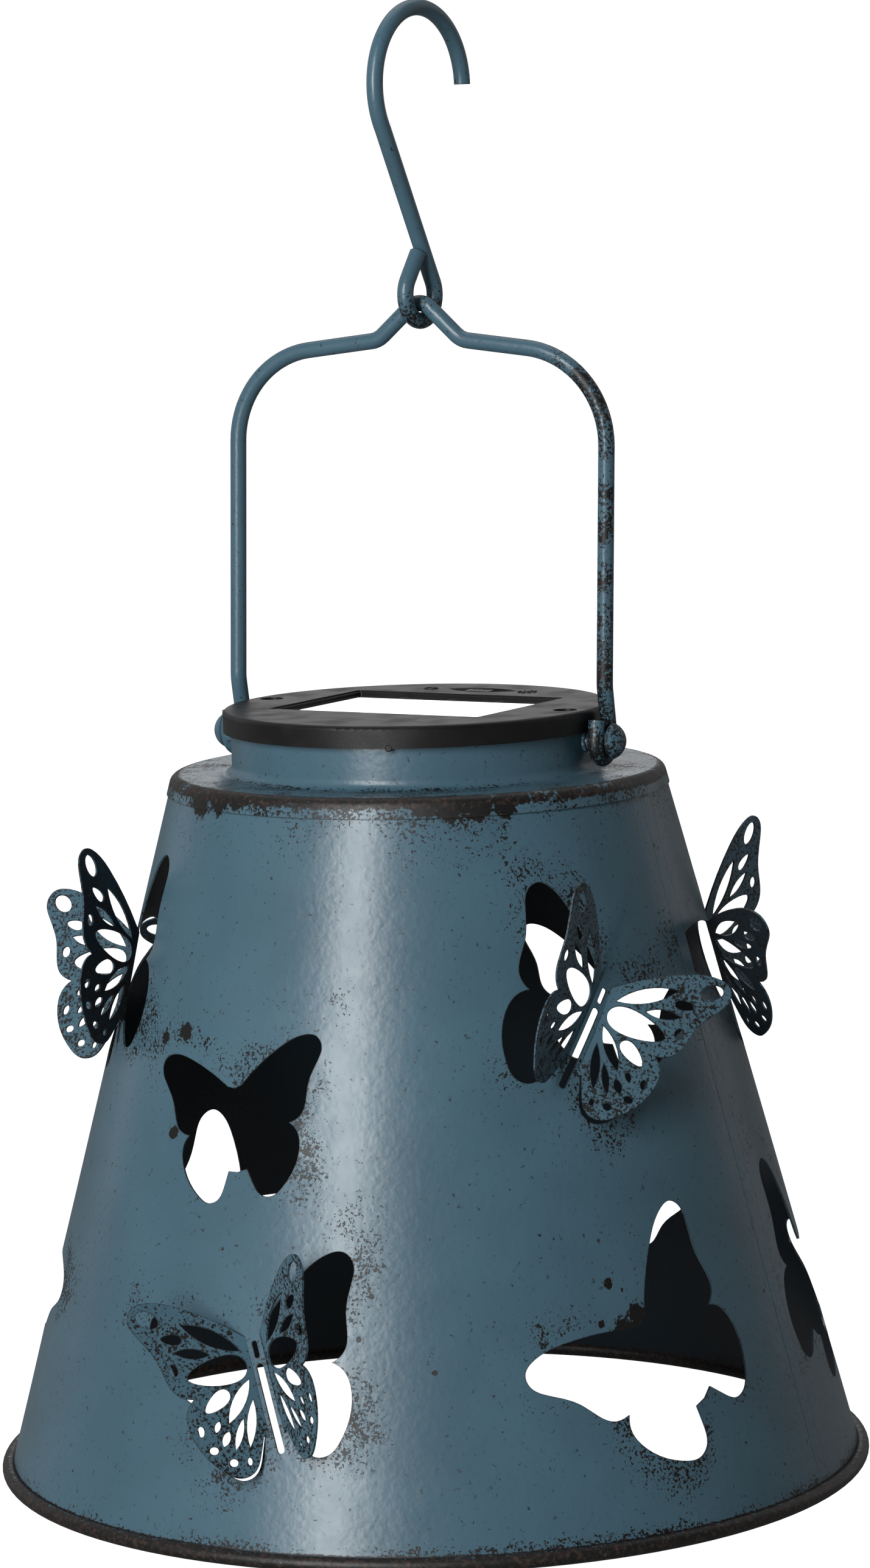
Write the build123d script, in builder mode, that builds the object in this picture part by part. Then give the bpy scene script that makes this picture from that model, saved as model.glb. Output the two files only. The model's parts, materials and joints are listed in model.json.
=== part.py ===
from build123d import *
from math import asin, atan2, cos, degrees, hypot, radians, sin, sqrt
import os

# Hanging solar lantern: a conical sheet-steel shade with butterfly cut-outs and raised butterflies,
# a pressed cap with a collar, a wire bail with a swinging hook, and a round solar lamp module that
# sits in the collar.  Millimetres, +Z up, the origin at the middle of the rim's resting plane.

os.makedirs("parts", exist_ok=True)

# ---------------------------------------------------------------- driving dimensions
sheet = 0.5                  # steel sheet of the shade
wall_foot_radius = 110.6     # outer face of the wall just above the rolled hem
wall_foot_height = 4.0
wall_top_radius = 64.6       # outer face of the wall at the cap's lower edge
wall_top_height = 177.5
wall_tuck = 2.3              # how far the wall runs up inside the cap
hem_radius = 1.9             # rolled hem, outside
hem_shift = 0.7              # hem centre outside the wall's outer face
rim_wire_gap = 0.02

cap_sheet = 0.45             # pressed cap
cap_rise = 5.0               # skirt's lower edge to the shoulder
shoulder_bend = 2.5
collar_radius = 48.0
collar_bend = 2.5
collar_top = wall_top_height + 17.8

lid_radius = collar_radius + 2.0   # moulded lid of the module
lid_bottom = collar_top - 2.1
lid_top = lid_bottom + 5.6
lid_deck = 3.0
lid_edge = 1.1
lid_skirt_gap = 0.35         # lid skirt over the collar
module_turn = -4.5           # degrees between the module and the bail's pivot line

panel_length, panel_width, panel_thickness = 59.4, 42.4, 1.6
panel_centre = (-1.0, 2.0)
panel_gap = 0.3
panel_drop = 1.0             # panel's face below the lid's face
ledge, ledge_drop = 1.2, 0.4
tape_thickness = 0.4
pocket_floor = 1.4

switch_centre = (0.1, 34.8)
switch_dish_length, switch_dish_width, switch_dish_depth = 21.0, 8.4, 1.3
knob_length, knob_width, knob_drop = 7.0, 3.4, 0.15
knob_grip_pitch, knob_grip_width, knob_grip_depth = 1.3, 0.5, 0.35
slide_travel = 2.4

module_screw_radius = collar_radius - 4.0   # pitch radius of the two lid screws
screw_radius = 1.25
screw_head_radius = 2.7
screw_head_height = 1.5
screw_recess_radius = 3.1
screw_recess_spare = 0.5
boss_radius = 2.6

cup_radius = collar_radius - 8.0   # lamp housing under the lid
cup_wall = 1.6
cup_bottom = lid_bottom - 25.2
cup_floor = 2.6
seal_thickness = 0.4
post_pitch = 32.0            # pitch radius of the four housing screws
post_angles = (-50, -130, 112, 68)
post_height = lid_bottom - 4.7   # where the housing's columns meet the lid's posts
housing_screw_seat = post_height - 8.5
screw_grip = 3.0

battery_radius, battery_length, battery_nub = 7.1, 49.2, 1.0
battery_y = 15.0
battery_gap = 0.35
chamber_wall = 1.2
chamber_top = cup_bottom + 14.0
spring_length, spring_radius, spring_wire = 3.2, 2.6, 0.4
contact_thickness = 0.4
door_length, door_width, door_thickness = 61.0, 19.0, 1.3
door_gap = 0.15
board_length, board_width, board_thickness = 32.0, 22.0, 1.6
board_y = -15.0
board_height = cup_bottom + 8.0
board_screw_radius = 1.0
lens_radius, lens_flange, lens_wall, lens_drop = 9.0, 11.0, 1.5, 4.5
lead_radius = 0.55

wire = 2.1                   # radius of the bail's and the hook's wire
pivot_height = wall_top_height + 13.2
eye_plane = lid_radius + wire + 0.5   # the bail's eyes, out from the axis
stud_radius = 2.25
stud_fit = 0.05              # running fit of the eye on its stud
stud_head_radius = 4.65
stud_head_height = 3.9
eye_tail = 4.9
kink_height = 14.0           # above the pivot, where the leg bends over to its eye
kink_bend = 9.0
bail_shift = 0.9             # the legs stand this much to one side above the kink
bail_skew = 0.033            # and lean by this much per millimetre of height
leg_corner = (eye_plane - 0.1, pivot_height + 97.1)
top_bend = (11.8, pivot_height + 101.95)
apex_corner = pivot_height + 112.75
leg_corner_bend, top_bend_radius, apex_bend = 24.4, 6.0, 4.0

hook_turn = 82.0             # degrees, direction of the hook's plane
hook_gap = 0.3
hook_eye_radius = 6.7
hook_eye_offset = 0.3
hook_eye_tail = 8.2
hook_eye_turn = -216.0       # angle on the eye where its tail leaves the bend
hook_arc_radius = 19.9
hook_arc_centre = (2.3, pivot_height + 166.3)
hook_end_angle = 1.0

strip_half = 2.0             # half the body strip that is left between two raised wings
raised_size, upper_plain_size, lower_plain_size = 1.21, 1.0, 1.26

# Each butterfly: azimuth, height, turn (degrees, counter-clockwise), size, and for a raised one the
# bend of its left and right wing.  The pattern runs twice round the shade.
raised_butterflies = [
    (-146.2, 130.2, 26.0, raised_size, 53.0, 47.0),
    (-32.9, 124.5, -36.7, raised_size, 34.0, 25.0),
    (-88.1, 42.2, 20.6, raised_size, 39.0, 37.0),
    (25.9, 130.8, 26.0, raised_size, 30.0, 47.0),
    (147.0, 124.5, -36.7, raised_size, 36.0, 32.0),
    (91.9, 42.2, 20.6, raised_size, 39.0, 37.0),
]
plain_butterflies = [
    (-97.7, 101.7, 11.0, upper_plain_size),
    (-27.5, 43.1, 36.5, lower_plain_size),
    (15.5, 46.5, -29.0, lower_plain_size),
    (80.0, 105.5, 11.0, upper_plain_size),
    (152.4, 43.3, 36.5, lower_plain_size),
    (-163.8, 46.5, -29.0, lower_plain_size),
]

# A right-hand wing at size 1, in millimetres from the middle of the body.
head_y, tail_y = 10.6, -10.2
fore_wing = [(2.1, 11.3), (6.2, 14.7), (13.5, 19.4), (20.2, 21.8), (23.4, 21.2), (24.6, 19.0),
             (23.2, 14.8), (20.5, 9.4), (18.9, 3.2), (15.0, 0.6)]
hind_wing = [(15.0, 0.6), (17.2, -2.4), (17.2, -6.6), (15.4, -11.2), (12.4, -15.0), (9.6, -16.9),
             (6.6, -16.6), (4.3, -13.6), (2.7, -9.7)]
# Pierced cells of a raised wing: leaves run from tip to tip with a width, drops from their point
# to their round end with a width, dots are ellipses with a turn.
leaves = [((3.2, 8.3), (14.2, 16.0), 3.2), ((9.6, 8.8), (16.8, 10.7), 2.1), ((2.8, 2.3), (9.1, -5.6), 2.6),
          ((3.0, -1.8), (6.0, -11.3), 2.0), ((5.9, -5.2), (9.0, -11.2), 1.5), ((9.4, -7.2), (11.3, -10.0), 1.6),
          ((10.9, -4.8), (12.2, -6.9), 1.2)]
drops = [((2.6, 5.2), (15.3, 5.0), 5.2), ((7.6, 0.8), (13.2, -2.5), 2.8), ((14.6, 12.9), (18.8, 14.0), 1.9)]
dots = [((20.6, 18.4), 2.5, 1.6, 38), ((17.7, 7.2), 1.25, 0.95, 80), ((15.1, -6.1), 1.1, 0.7, 100),
        ((13.4, -10.4), 0.95, 0.8, 0), ((10.0, -13.6), 0.9, 0.8, 0), ((6.7, -14.0), 0.8, 0.5, 100)]
head_slit = (7.8, 3.6, 1.1)  # middle, length and width of the slits in the body strip
long_slit = (-4.6, 18.8, 1.6)

wall_slope = (wall_top_radius - wall_foot_radius) / (wall_top_height - wall_foot_height)
wall_lean = hypot(1, wall_slope)


def wall_radius(height):
    """Outer face of the shade's wall at a height."""
    return wall_foot_radius + wall_slope * (height - wall_foot_height)


def body_frame(azimuth, height, turn):
    """Middle of a butterfly on the wall, with its cross, length and outward directions."""
    a, t = radians(azimuth), radians(turn)
    radius = wall_radius(height)
    middle = Vector(radius * cos(a), radius * sin(a), height)
    around = Vector(-sin(a), cos(a), 0)
    up_wall = Vector(wall_slope * cos(a), wall_slope * sin(a), 1) / wall_lean
    outward = around.cross(up_wall)
    return middle, around * cos(t) + up_wall * sin(t), outward


def wall_plane(azimuth, height, turn, lift):
    """Plane square to the wall at a butterfly, lifted off it."""
    middle, across, outward = body_frame(azimuth, height, turn)
    return Plane(origin=middle + outward * lift, x_dir=across, z_dir=outward)


def wing_plane(azimuth, height, turn, side, bend):
    """Plane of a raised wing's outer face, hinged on the edge of the body strip."""
    middle, across, outward = body_frame(azimuth, height, turn)
    b = radians(bend)
    wing_across = across * cos(b) + outward * (side * sin(b))
    wing_normal = outward * cos(b) - across * (side * sin(b))
    origin = middle + (across - wing_across) * (side * strip_half)
    return Plane(origin=origin, x_dir=wing_across, z_dir=wing_normal)


def wing_face(size, side, inner):
    """Face of half a butterfly, from the line x = inner outwards."""
    with BuildLine() as outline:
        shoulder = (side * fore_wing[0][0] * size, fore_wing[0][1] * size)
        hip = (side * hind_wing[-1][0] * size, hind_wing[-1][1] * size)
        Line((side * inner, head_y * size), shoulder)
        Spline(*[(side * x * size, y * size) for x, y in fore_wing])
        Spline(*[(side * x * size, y * size) for x, y in hind_wing])
        Line(hip, (side * inner, tail_y * size))
        Line((side * inner, tail_y * size), (side * inner, head_y * size))
    make_face(outline.edges())


def leaf_cell(start, end, width):
    """A pointed leaf-shaped hole."""
    middle = (start + end) / 2
    bulge = (end - start).normalized().rotate(Axis.Z, 90) * (width / 2)
    with BuildLine() as cell:
        ThreePointArc(start, middle + bulge, end)
        ThreePointArc(end, middle - bulge, start)
    make_face(cell.edges(), mode=Mode.SUBTRACT)


def drop_cell(point, end, width):
    """A hole with one pointed and one round end."""
    along = end - point
    bulge = along.normalized().rotate(Axis.Z, 90) * (width / 2)
    with BuildLine() as cell:
        Spline(point, point + along * 0.62 + bulge, end, point + along * 0.62 - bulge, point)
    make_face(cell.edges(), mode=Mode.SUBTRACT)


def pierced_cells(size, side):
    """All the holes of one raised wing."""
    def at(p):
        return Vector(side * p[0] * size, p[1] * size)
    for start, end, width in leaves:
        leaf_cell(at(start), at(end), width * size)
    for point, end, width in drops:
        drop_cell(at(point), at(end), width * size)
    for middle, long_half, short_half, turn in dots:
        with Locations(at(middle)):
            Ellipse(long_half * size, short_half * size, rotation=side * turn, mode=Mode.SUBTRACT)


# ---------------------------------------------------------------- shade
hem_centre = (wall_radius(hem_radius) + hem_shift, hem_radius)
wall_seat = 1.58 * hem_radius          # the wall ends inside the curl of the hem
wall_end = wall_top_height + wall_tuck
sheet_across = sheet * wall_lean
cut_lift, cut_depth = 3.0, 18.0        # a cut goes through one wall and stays clear of the far one
wing_root = 0.5                        # how far a raised wing runs into the body strip
wing_sink = 0.15

with BuildPart() as shade:
    with BuildSketch(Plane.XZ):
        with BuildLine():
            Polyline(
                (wall_radius(wall_seat), wall_seat),
                (wall_radius(wall_end), wall_end),
                (wall_radius(wall_end) - sheet_across, wall_end),
                (wall_radius(wall_seat) - sheet_across, wall_seat),
                close=True,
            )
        make_face()
        with Locations(hem_centre):
            Circle(hem_radius)
            Circle(hem_radius - sheet, mode=Mode.SUBTRACT)
    revolve(axis=Axis.Z)
    for azimuth, height, turn, size in plain_butterflies:
        with BuildSketch(wall_plane(azimuth, height, turn, cut_lift)):
            wing_face(size, 1, 0)
            wing_face(size, -1, 0)
        extrude(amount=-cut_depth, mode=Mode.SUBTRACT)
    for azimuth, height, turn, size, left_bend, right_bend in raised_butterflies:
        with BuildSketch(wall_plane(azimuth, height, turn, cut_lift)):
            wing_face(size, 1, strip_half)
            wing_face(size, -1, strip_half)
            for middle, length, width in (head_slit, long_slit):
                with Locations((0, middle * size)):
                    SlotOverall(length * size, width * size, rotation=90)
        extrude(amount=-cut_depth, mode=Mode.SUBTRACT)
        for side, bend in ((-1, left_bend), (1, right_bend)):
            with BuildSketch(wing_plane(azimuth, height, turn, side, bend).offset(-wing_sink)):
                wing_face(size, side, strip_half - wing_root)
                pierced_cells(size, side)
            extrude(amount=-sheet)

with BuildPart() as rim_wire:
    with BuildSketch(Plane.XZ):
        with Locations(hem_centre):
            Circle(hem_radius - sheet - rim_wire_gap)
    revolve(axis=Axis.Z)

# ---------------------------------------------------------------- cap and collar
shoulder_height = wall_top_height + cap_rise
cap_across = cap_sheet * wall_lean


def skirt_outside(height):
    """Outer face of the cap's skirt, which lies on the wall."""
    return wall_radius(height) + cap_across


with BuildPart() as top_cap:
    with BuildSketch(Plane.XZ):
        with BuildLine():
            outer = FilletPolyline(
                (skirt_outside(wall_top_height), wall_top_height),
                (skirt_outside(shoulder_height), shoulder_height),
                (collar_radius, shoulder_height),
                (collar_radius, collar_top),
                radius=[shoulder_bend, collar_bend],
            )
            under = shoulder_height - cap_sheet
            inner = FilletPolyline(
                (collar_radius - cap_sheet, collar_top),
                (collar_radius - cap_sheet, under),
                (wall_radius(under), under),
                (wall_radius(wall_top_height), wall_top_height),
                radius=[collar_bend + cap_sheet, shoulder_bend - cap_sheet],
            )
            Line(outer @ 1, inner @ 0)
            Line(inner @ 1, outer @ 0)
        make_face()
    revolve(axis=Axis.Z)
    with BuildSketch(Plane.YZ.offset(-collar_radius - 1)):
        with Locations((0, pivot_height)):
            Circle(stud_radius)
    extrude(amount=2 * collar_radius + 2, mode=Mode.SUBTRACT)

# ---------------------------------------------------------------- pivot studs
collar_inside = collar_radius - cap_sheet
weld_radius, weld_length = stud_radius + 0.2, 1.0
head_start = eye_plane + wire + 0.15


def dome_middle(rim, tip):
    """Middle point of an arc from a rim (along, radius) to a tip on the axis, centred on the axis."""
    centre = (rim[0] ** 2 + rim[1] ** 2 - tip**2) / (2 * (rim[0] - tip))
    half = atan2(rim[1], abs(rim[0] - centre)) / 2
    toward = 1 if tip > centre else -1
    return (centre + toward * abs(tip - centre) * cos(half), abs(tip - centre) * sin(half))


def pivot_stud(side):
    """Mushroom-headed stud, welded into the collar."""
    with BuildPart() as stud:
        with BuildSketch(Plane.XZ):
            with BuildLine():
                head_edge = (head_start + 0.6, stud_head_radius)
                head_tip = head_start + stud_head_height
                head_middle = dome_middle(head_edge, head_tip)
                Polyline(
                    (collar_inside, pivot_height),
                    (collar_inside, pivot_height + stud_radius),
                    (collar_radius, pivot_height + stud_radius),
                    (collar_radius, pivot_height + weld_radius),
                    (collar_radius + weld_length, pivot_height + stud_radius),
                    (head_start, pivot_height + stud_radius),
                    (head_start, pivot_height + stud_head_radius - 0.6),
                    (head_edge[0], pivot_height + head_edge[1]),
                )
                ThreePointArc(
                    (head_edge[0], pivot_height + head_edge[1]),
                    (head_middle[0], pivot_height + head_middle[1]),
                    (head_tip, pivot_height),
                )
                Line((head_tip, pivot_height), (collar_inside, pivot_height))
            make_face()
        revolve(axis=Axis((0, 0, pivot_height), (1, 0, 0)))
        if side < 0:
            mirror(about=Plane.YZ, mode=Mode.REPLACE)
    return stud


stud_left = pivot_stud(-1)
stud_right = pivot_stud(1)

# ---------------------------------------------------------------- bail
eye_radius = stud_radius + stud_fit + wire
kink_angle = asin(eye_radius / kink_height)
tangent_y = eye_radius * cos(kink_angle)
tangent_z = eye_radius * sin(kink_angle)
tail_angle = radians(170)


def skewed(x, z):
    """Point of the bail's plane, with its lean to one side."""
    return (x + bail_shift + bail_skew * (z - pivot_height - kink_height), 0, z)


with BuildPart() as bail:
    with BuildLine() as bail_path:
        FilletPolyline(
            (-eye_plane, tangent_y, pivot_height + tangent_z),
            skewed(-eye_plane, pivot_height + kink_height),
            skewed(-leg_corner[0], leg_corner[1]),
            skewed(-top_bend[0], top_bend[1]),
            skewed(0, apex_corner),
            skewed(*top_bend),
            skewed(*leg_corner),
            skewed(eye_plane, pivot_height + kink_height),
            (eye_plane, tangent_y, pivot_height + tangent_z),
            radius=[kink_bend, leg_corner_bend, top_bend_radius, apex_bend, top_bend_radius, leg_corner_bend, kink_bend],
        )
        for side in (-1, 1):
            eye_end = Vector(side * eye_plane, eye_radius * cos(tail_angle), pivot_height + eye_radius * sin(tail_angle))
            ThreePointArc(
                (side * eye_plane, tangent_y, pivot_height + tangent_z),
                (side * eye_plane, 0, pivot_height - eye_radius),
                eye_end,
            )
            Line(eye_end, eye_end + Vector(0, sin(tail_angle), -cos(tail_angle)) * eye_tail)
    start = bail_path.wires()[0]
    with BuildSketch(Plane(origin=start @ 0, z_dir=start % 0)):
        Circle(wire)
    sweep(path=start)

# ---------------------------------------------------------------- hook
apex_height = apex_corner - apex_bend * (1 / cos(atan2(apex_corner - top_bend[1], top_bend[0])) - 1)
apex_x = skewed(0, apex_height)[0]
eye_centre = Vector(hook_eye_offset, apex_height - 2 * wire - hook_gap + hook_eye_radius)
arc_centre = Vector(*hook_arc_centre)
h = radians(hook_turn)
# The straight shank is the crossing tangent of the two arcs.
centres = arc_centre - eye_centre
shank_angle = degrees(asin((hook_arc_radius + hook_eye_radius) / centres.length) + atan2(centres.X, centres.Y))


def hook_point(centre, radius, angle):
    """Point of an arc in the hook's upright plane."""
    along = centre.X + radius * cos(radians(angle))
    return Vector(apex_x + along * cos(h), along * sin(h), centre.Y + radius * sin(radians(angle)))


with BuildPart() as hook:
    with BuildLine() as hook_path:
        top_angles = (hook_end_angle, 90 + shank_angle / 2, 180 + shank_angle)
        top = ThreePointArc(*[hook_point(arc_centre, hook_arc_radius, a) for a in top_angles])
        low_angles = (shank_angle, (shank_angle + hook_eye_turn) / 2, hook_eye_turn)
        low = ThreePointArc(*[hook_point(eye_centre, hook_eye_radius, a) for a in low_angles])
        Line(top @ 1, low @ 0)
        Line(low @ 1, low @ 1 + (low % 1) * hook_eye_tail)
    route = hook_path.wires()[0]
    with BuildSketch(Plane(origin=route @ 0, z_dir=route % 0)):
        Circle(wire)
    sweep(path=route)

# ---------------------------------------------------------------- lamp module
def module_plane(height):
    """Level plane of the module, turned with it."""
    return Plane.XY.offset(height).rotated((0, 0, module_turn))


deck_under = lid_top - lid_deck
pocket_floor_height = lid_top - panel_drop - panel_thickness - tape_thickness
tray_under = pocket_floor_height - pocket_floor
skirt_inside = collar_radius + lid_skirt_gap
pocket = (panel_length + 2 * panel_gap, panel_width + 2 * panel_gap)
lid_screw_points = [(-module_screw_radius, 0), (module_screw_radius, 0)]
ear_thickness, ear_reach, foot_reach = 0.8, 6.4, 9.0
ear_top = lid_bottom - 5.2
post_points = [(post_pitch * cos(radians(a)), post_pitch * sin(radians(a))) for a in post_angles]
column_radius = screw_head_radius + 0.2 + 1.2
rib_outside = cup_radius - cup_wall - 0.2
rib_wall, rib_depth = 1.4, 3.0
switch_length, switch_width, switch_height = 12.0, 5.6, 5.0
switch_slot = (knob_length + slide_travel + 0.6, knob_width + 0.5)
panel_lead_points = [(-6.0, 2.0), (4.0, 2.0)]

with BuildPart() as solar_lid:
    with BuildSketch(Plane.XZ):
        with BuildLine():
            Polyline(
                (0, deck_under), (skirt_inside, deck_under), (skirt_inside, lid_bottom),
                (lid_radius, lid_bottom), (lid_radius, lid_top), (0, lid_top), close=True,
            )
        make_face()
    revolve(axis=Axis.Z)
    top_rim = solar_lid.edges().filter_by(GeomType.CIRCLE).group_by(Axis.Z)[-1]
    fillet(top_rim, lid_edge)
    with BuildSketch(module_plane(tray_under)):
        Circle(cup_radius + 1.2)
    extrude(amount=deck_under - tray_under)
    with BuildSketch(module_plane(tray_under)):
        Circle(rib_outside)
        Circle(rib_outside - rib_wall, mode=Mode.SUBTRACT)
        with Locations(switch_centre):
            Rectangle(switch_length + 1, 2 * rib_wall + switch_width, mode=Mode.SUBTRACT)
    extrude(amount=-rib_depth)
    with BuildSketch(module_plane(deck_under)):
        with Locations(*lid_screw_points):
            Circle(boss_radius)
    extrude(amount=ear_top - deck_under)
    with BuildSketch(module_plane(tray_under)):
        with Locations(*post_points):
            Circle(column_radius)
    extrude(amount=post_height - tray_under)
    with BuildSketch(module_plane(post_height)):
        with Locations(*post_points):
            Circle(screw_radius)
    extrude(amount=screw_grip + 1, mode=Mode.SUBTRACT)
    with BuildSketch(module_plane(lid_top)):
        with Locations(panel_centre):
            RectangleRounded(pocket[0] + 2 * ledge, pocket[1] + 2 * ledge, 0.8)
    extrude(amount=-ledge_drop, mode=Mode.SUBTRACT)
    with BuildSketch(module_plane(lid_top)):
        with Locations(panel_centre):
            RectangleRounded(*pocket, 0.5)
    extrude(amount=pocket_floor_height - lid_top, mode=Mode.SUBTRACT)
    with BuildSketch(module_plane(lid_top)):
        with Locations(*lid_screw_points):
            Circle(screw_recess_radius)
    extrude(amount=-screw_head_height - screw_recess_spare, mode=Mode.SUBTRACT)
    with BuildSketch(module_plane(lid_top)):
        with Locations(*lid_screw_points):
            Circle(screw_radius + 0.2)
    extrude(amount=ear_top - lid_top, mode=Mode.SUBTRACT)
    dish_radius = (switch_dish_length**2 / 4 + switch_dish_width**2 / 4) / switch_dish_width
    with BuildSketch(module_plane(lid_top)):
        with Locations((switch_centre[0], switch_centre[1] - dish_radius + switch_dish_width / 2)):
            Circle(dish_radius)
        with Locations((switch_centre[0], switch_centre[1] + dish_radius - switch_dish_width / 2)):
            Circle(dish_radius, mode=Mode.INTERSECT)
    extrude(amount=-switch_dish_depth, taper=30, mode=Mode.SUBTRACT)
    with BuildSketch(module_plane(lid_top)):
        with Locations(switch_centre):
            Rectangle(*switch_slot)
    extrude(amount=tray_under - lid_top, mode=Mode.SUBTRACT)
    with BuildSketch(module_plane(tray_under)):
        with Locations(*panel_lead_points):
            Circle(lead_radius + 0.4)
    extrude(amount=pocket_floor, mode=Mode.SUBTRACT)

with BuildPart() as panel_tape:
    with BuildSketch(module_plane(pocket_floor_height)):
        with Locations(panel_centre):
            Rectangle(panel_length - 3, panel_width - 3)
        with Locations(*panel_lead_points):
            Circle(1.6, mode=Mode.SUBTRACT)
    extrude(amount=tape_thickness)

with BuildPart() as solar_panel:
    with BuildSketch(module_plane(pocket_floor_height + tape_thickness)):
        with Locations(panel_centre):
            RectangleRounded(panel_length, panel_width, 0.4)
    extrude(amount=panel_thickness)

with BuildPart() as lid_gasket:
    with BuildSketch(Plane.XY.offset(collar_top)):
        Circle(collar_radius)
        Circle(collar_inside - 0.9, mode=Mode.SUBTRACT)
    extrude(amount=deck_under - collar_top)

slide_rest = (switch_centre[0] - slide_travel / 2, switch_centre[1])
knob_floor = tray_under - 1.2
pin_length, pin_pitch, pin_width, pin_depth = 1.2, 2.5, 0.8, 0.6
with BuildPart() as switch_body:
    with BuildSketch(module_plane(tray_under)):
        with Locations(switch_centre):
            Rectangle(switch_length, switch_width)
    extrude(amount=-switch_height)
    with BuildSketch(module_plane(tray_under)):
        with Locations(switch_centre):
            Rectangle(*switch_slot)
    extrude(amount=knob_floor - tray_under - 0.05, mode=Mode.SUBTRACT)
    with BuildSketch(module_plane(tray_under - switch_height)):
        with Locations(switch_centre):
            with GridLocations(pin_pitch, 1, 3, 1):
                Rectangle(pin_width, pin_depth)
    extrude(amount=-pin_length)

with BuildPart() as switch_slider:
    with BuildSketch(module_plane(knob_floor)):
        with Locations(slide_rest):
            Rectangle(knob_length, knob_width)
    extrude(amount=lid_top - knob_drop - knob_floor)
    with BuildSketch(module_plane(lid_top - knob_drop)):
        with Locations(slide_rest):
            with GridLocations(knob_grip_pitch, 1, 4, 1):
                Rectangle(knob_grip_width, knob_width)
    extrude(amount=-knob_grip_depth, mode=Mode.SUBTRACT)

# ---------------------------------------------------------------- brackets under the shoulder
bracket_width = 13.0
riser_outside = sqrt(collar_inside**2 - (bracket_width / 2) ** 2) - 0.02


def module_bracket(side):
    """Bent strip, welded under the shoulder, that takes a lid screw."""
    t = ear_thickness
    with BuildPart() as bracket:
        with BuildSketch(Plane.XZ):
            with BuildLine():
                Polyline(
                    (riser_outside - ear_reach, ear_top), (riser_outside, ear_top),
                    (riser_outside, under), (riser_outside + foot_reach, under),
                    (riser_outside + foot_reach, under - t), (riser_outside - t, under - t),
                    (riser_outside - t, ear_top - t), (riser_outside - ear_reach, ear_top - t),
                    close=True,
                )
            make_face()
        extrude(amount=bracket_width / 2, both=True)
        if side < 0:
            mirror(about=Plane.YZ, mode=Mode.REPLACE)
        with BuildSketch(module_plane(ear_top + 1)):
            with Locations(*lid_screw_points):
                Circle(screw_radius)
        extrude(amount=-4, mode=Mode.SUBTRACT)
    return bracket


bracket_left = module_bracket(-1)
bracket_right = module_bracket(1)


# ---------------------------------------------------------------- lamp housing
cup_inside = cup_radius - cup_wall
cup_top = tray_under - seal_thickness
floor_top = cup_bottom + cup_floor
battery_z = floor_top + 0.3 + battery_radius
battery_half = battery_length / 2
chamber_inside = battery_radius + battery_gap
chamber_left = -battery_half - spring_length - contact_thickness
chamber_right = battery_half + contact_thickness
chamber_middle = (chamber_left + chamber_right) / 2
chamber_length = chamber_right - chamber_left
hatch_length, hatch_width = chamber_length - 1.0, 2 * chamber_inside + 0.6
door_screw_point = (chamber_middle + door_length / 2 - 3.2, battery_y)
standoff_points = [(x * (board_length / 2 - 3), board_y + y * (board_width / 2 - 3)) for x in (-1, 1) for y in (-1, 1)]
standoff_radius = 2.2
flange_thickness = 1.2

with BuildPart() as lamp_housing:
    with BuildSketch(module_plane(cup_bottom)):
        Circle(cup_radius)
    extrude(amount=cup_top - cup_bottom)
    fillet(lamp_housing.edges().group_by(Axis.Z)[0], 2.0)
    with BuildSketch(module_plane(floor_top)):
        Circle(cup_inside)
    extrude(amount=cup_top - floor_top, mode=Mode.SUBTRACT)
    with BuildSketch(module_plane(floor_top)):
        with Locations((chamber_middle, battery_y)):
            Rectangle(chamber_length + 2 * chamber_wall, 2 * (chamber_inside + chamber_wall))
            Rectangle(chamber_length, 2 * chamber_inside, mode=Mode.SUBTRACT)
    extrude(amount=chamber_top - floor_top)
    with BuildSketch(module_plane(floor_top)):
        with Locations(*post_points):
            Circle(column_radius)
    extrude(amount=post_height - floor_top)
    with BuildSketch(module_plane(floor_top)):
        with Locations(*standoff_points):
            Circle(standoff_radius)
    extrude(amount=board_height - floor_top)
    with BuildSketch(module_plane(cup_bottom)):
        with Locations(*post_points):
            Circle(screw_head_radius + 0.2)
    extrude(amount=housing_screw_seat - cup_bottom, mode=Mode.SUBTRACT)
    with BuildSketch(module_plane(housing_screw_seat)):
        with Locations(*post_points):
            Circle(screw_radius + 0.15)
    extrude(amount=post_height - housing_screw_seat, mode=Mode.SUBTRACT)
    with BuildSketch(module_plane(board_height)):
        with Locations(*standoff_points):
            Circle(board_screw_radius)
    extrude(amount=-3.5, mode=Mode.SUBTRACT)
    with BuildSketch(module_plane(cup_bottom)):
        with Locations((chamber_middle, battery_y)):
            Rectangle(door_length + 2 * door_gap, door_width + 2 * door_gap)
    extrude(amount=door_thickness, mode=Mode.SUBTRACT)
    with BuildSketch(module_plane(cup_bottom)):
        with Locations((chamber_middle, battery_y)):
            Rectangle(hatch_length, hatch_width)
    extrude(amount=cup_floor, mode=Mode.SUBTRACT)
    with BuildSketch(module_plane(cup_bottom)):
        with Locations((0, board_y)):
            Circle(lens_radius + 0.1)
    extrude(amount=cup_floor, mode=Mode.SUBTRACT)
    with BuildSketch(module_plane(floor_top - flange_thickness)):
        with Locations((0, board_y)):
            Circle(lens_flange + 0.1)
    extrude(amount=flange_thickness, mode=Mode.SUBTRACT)
    with BuildSketch(module_plane(cup_bottom)):
        with Locations(door_screw_point):
            Circle(board_screw_radius)
    extrude(amount=cup_floor, mode=Mode.SUBTRACT)

with BuildPart() as housing_seal:
    with BuildSketch(module_plane(cup_top)):
        Circle(cup_radius)
        Circle(cup_inside, mode=Mode.SUBTRACT)
    extrude(amount=seal_thickness)


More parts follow.
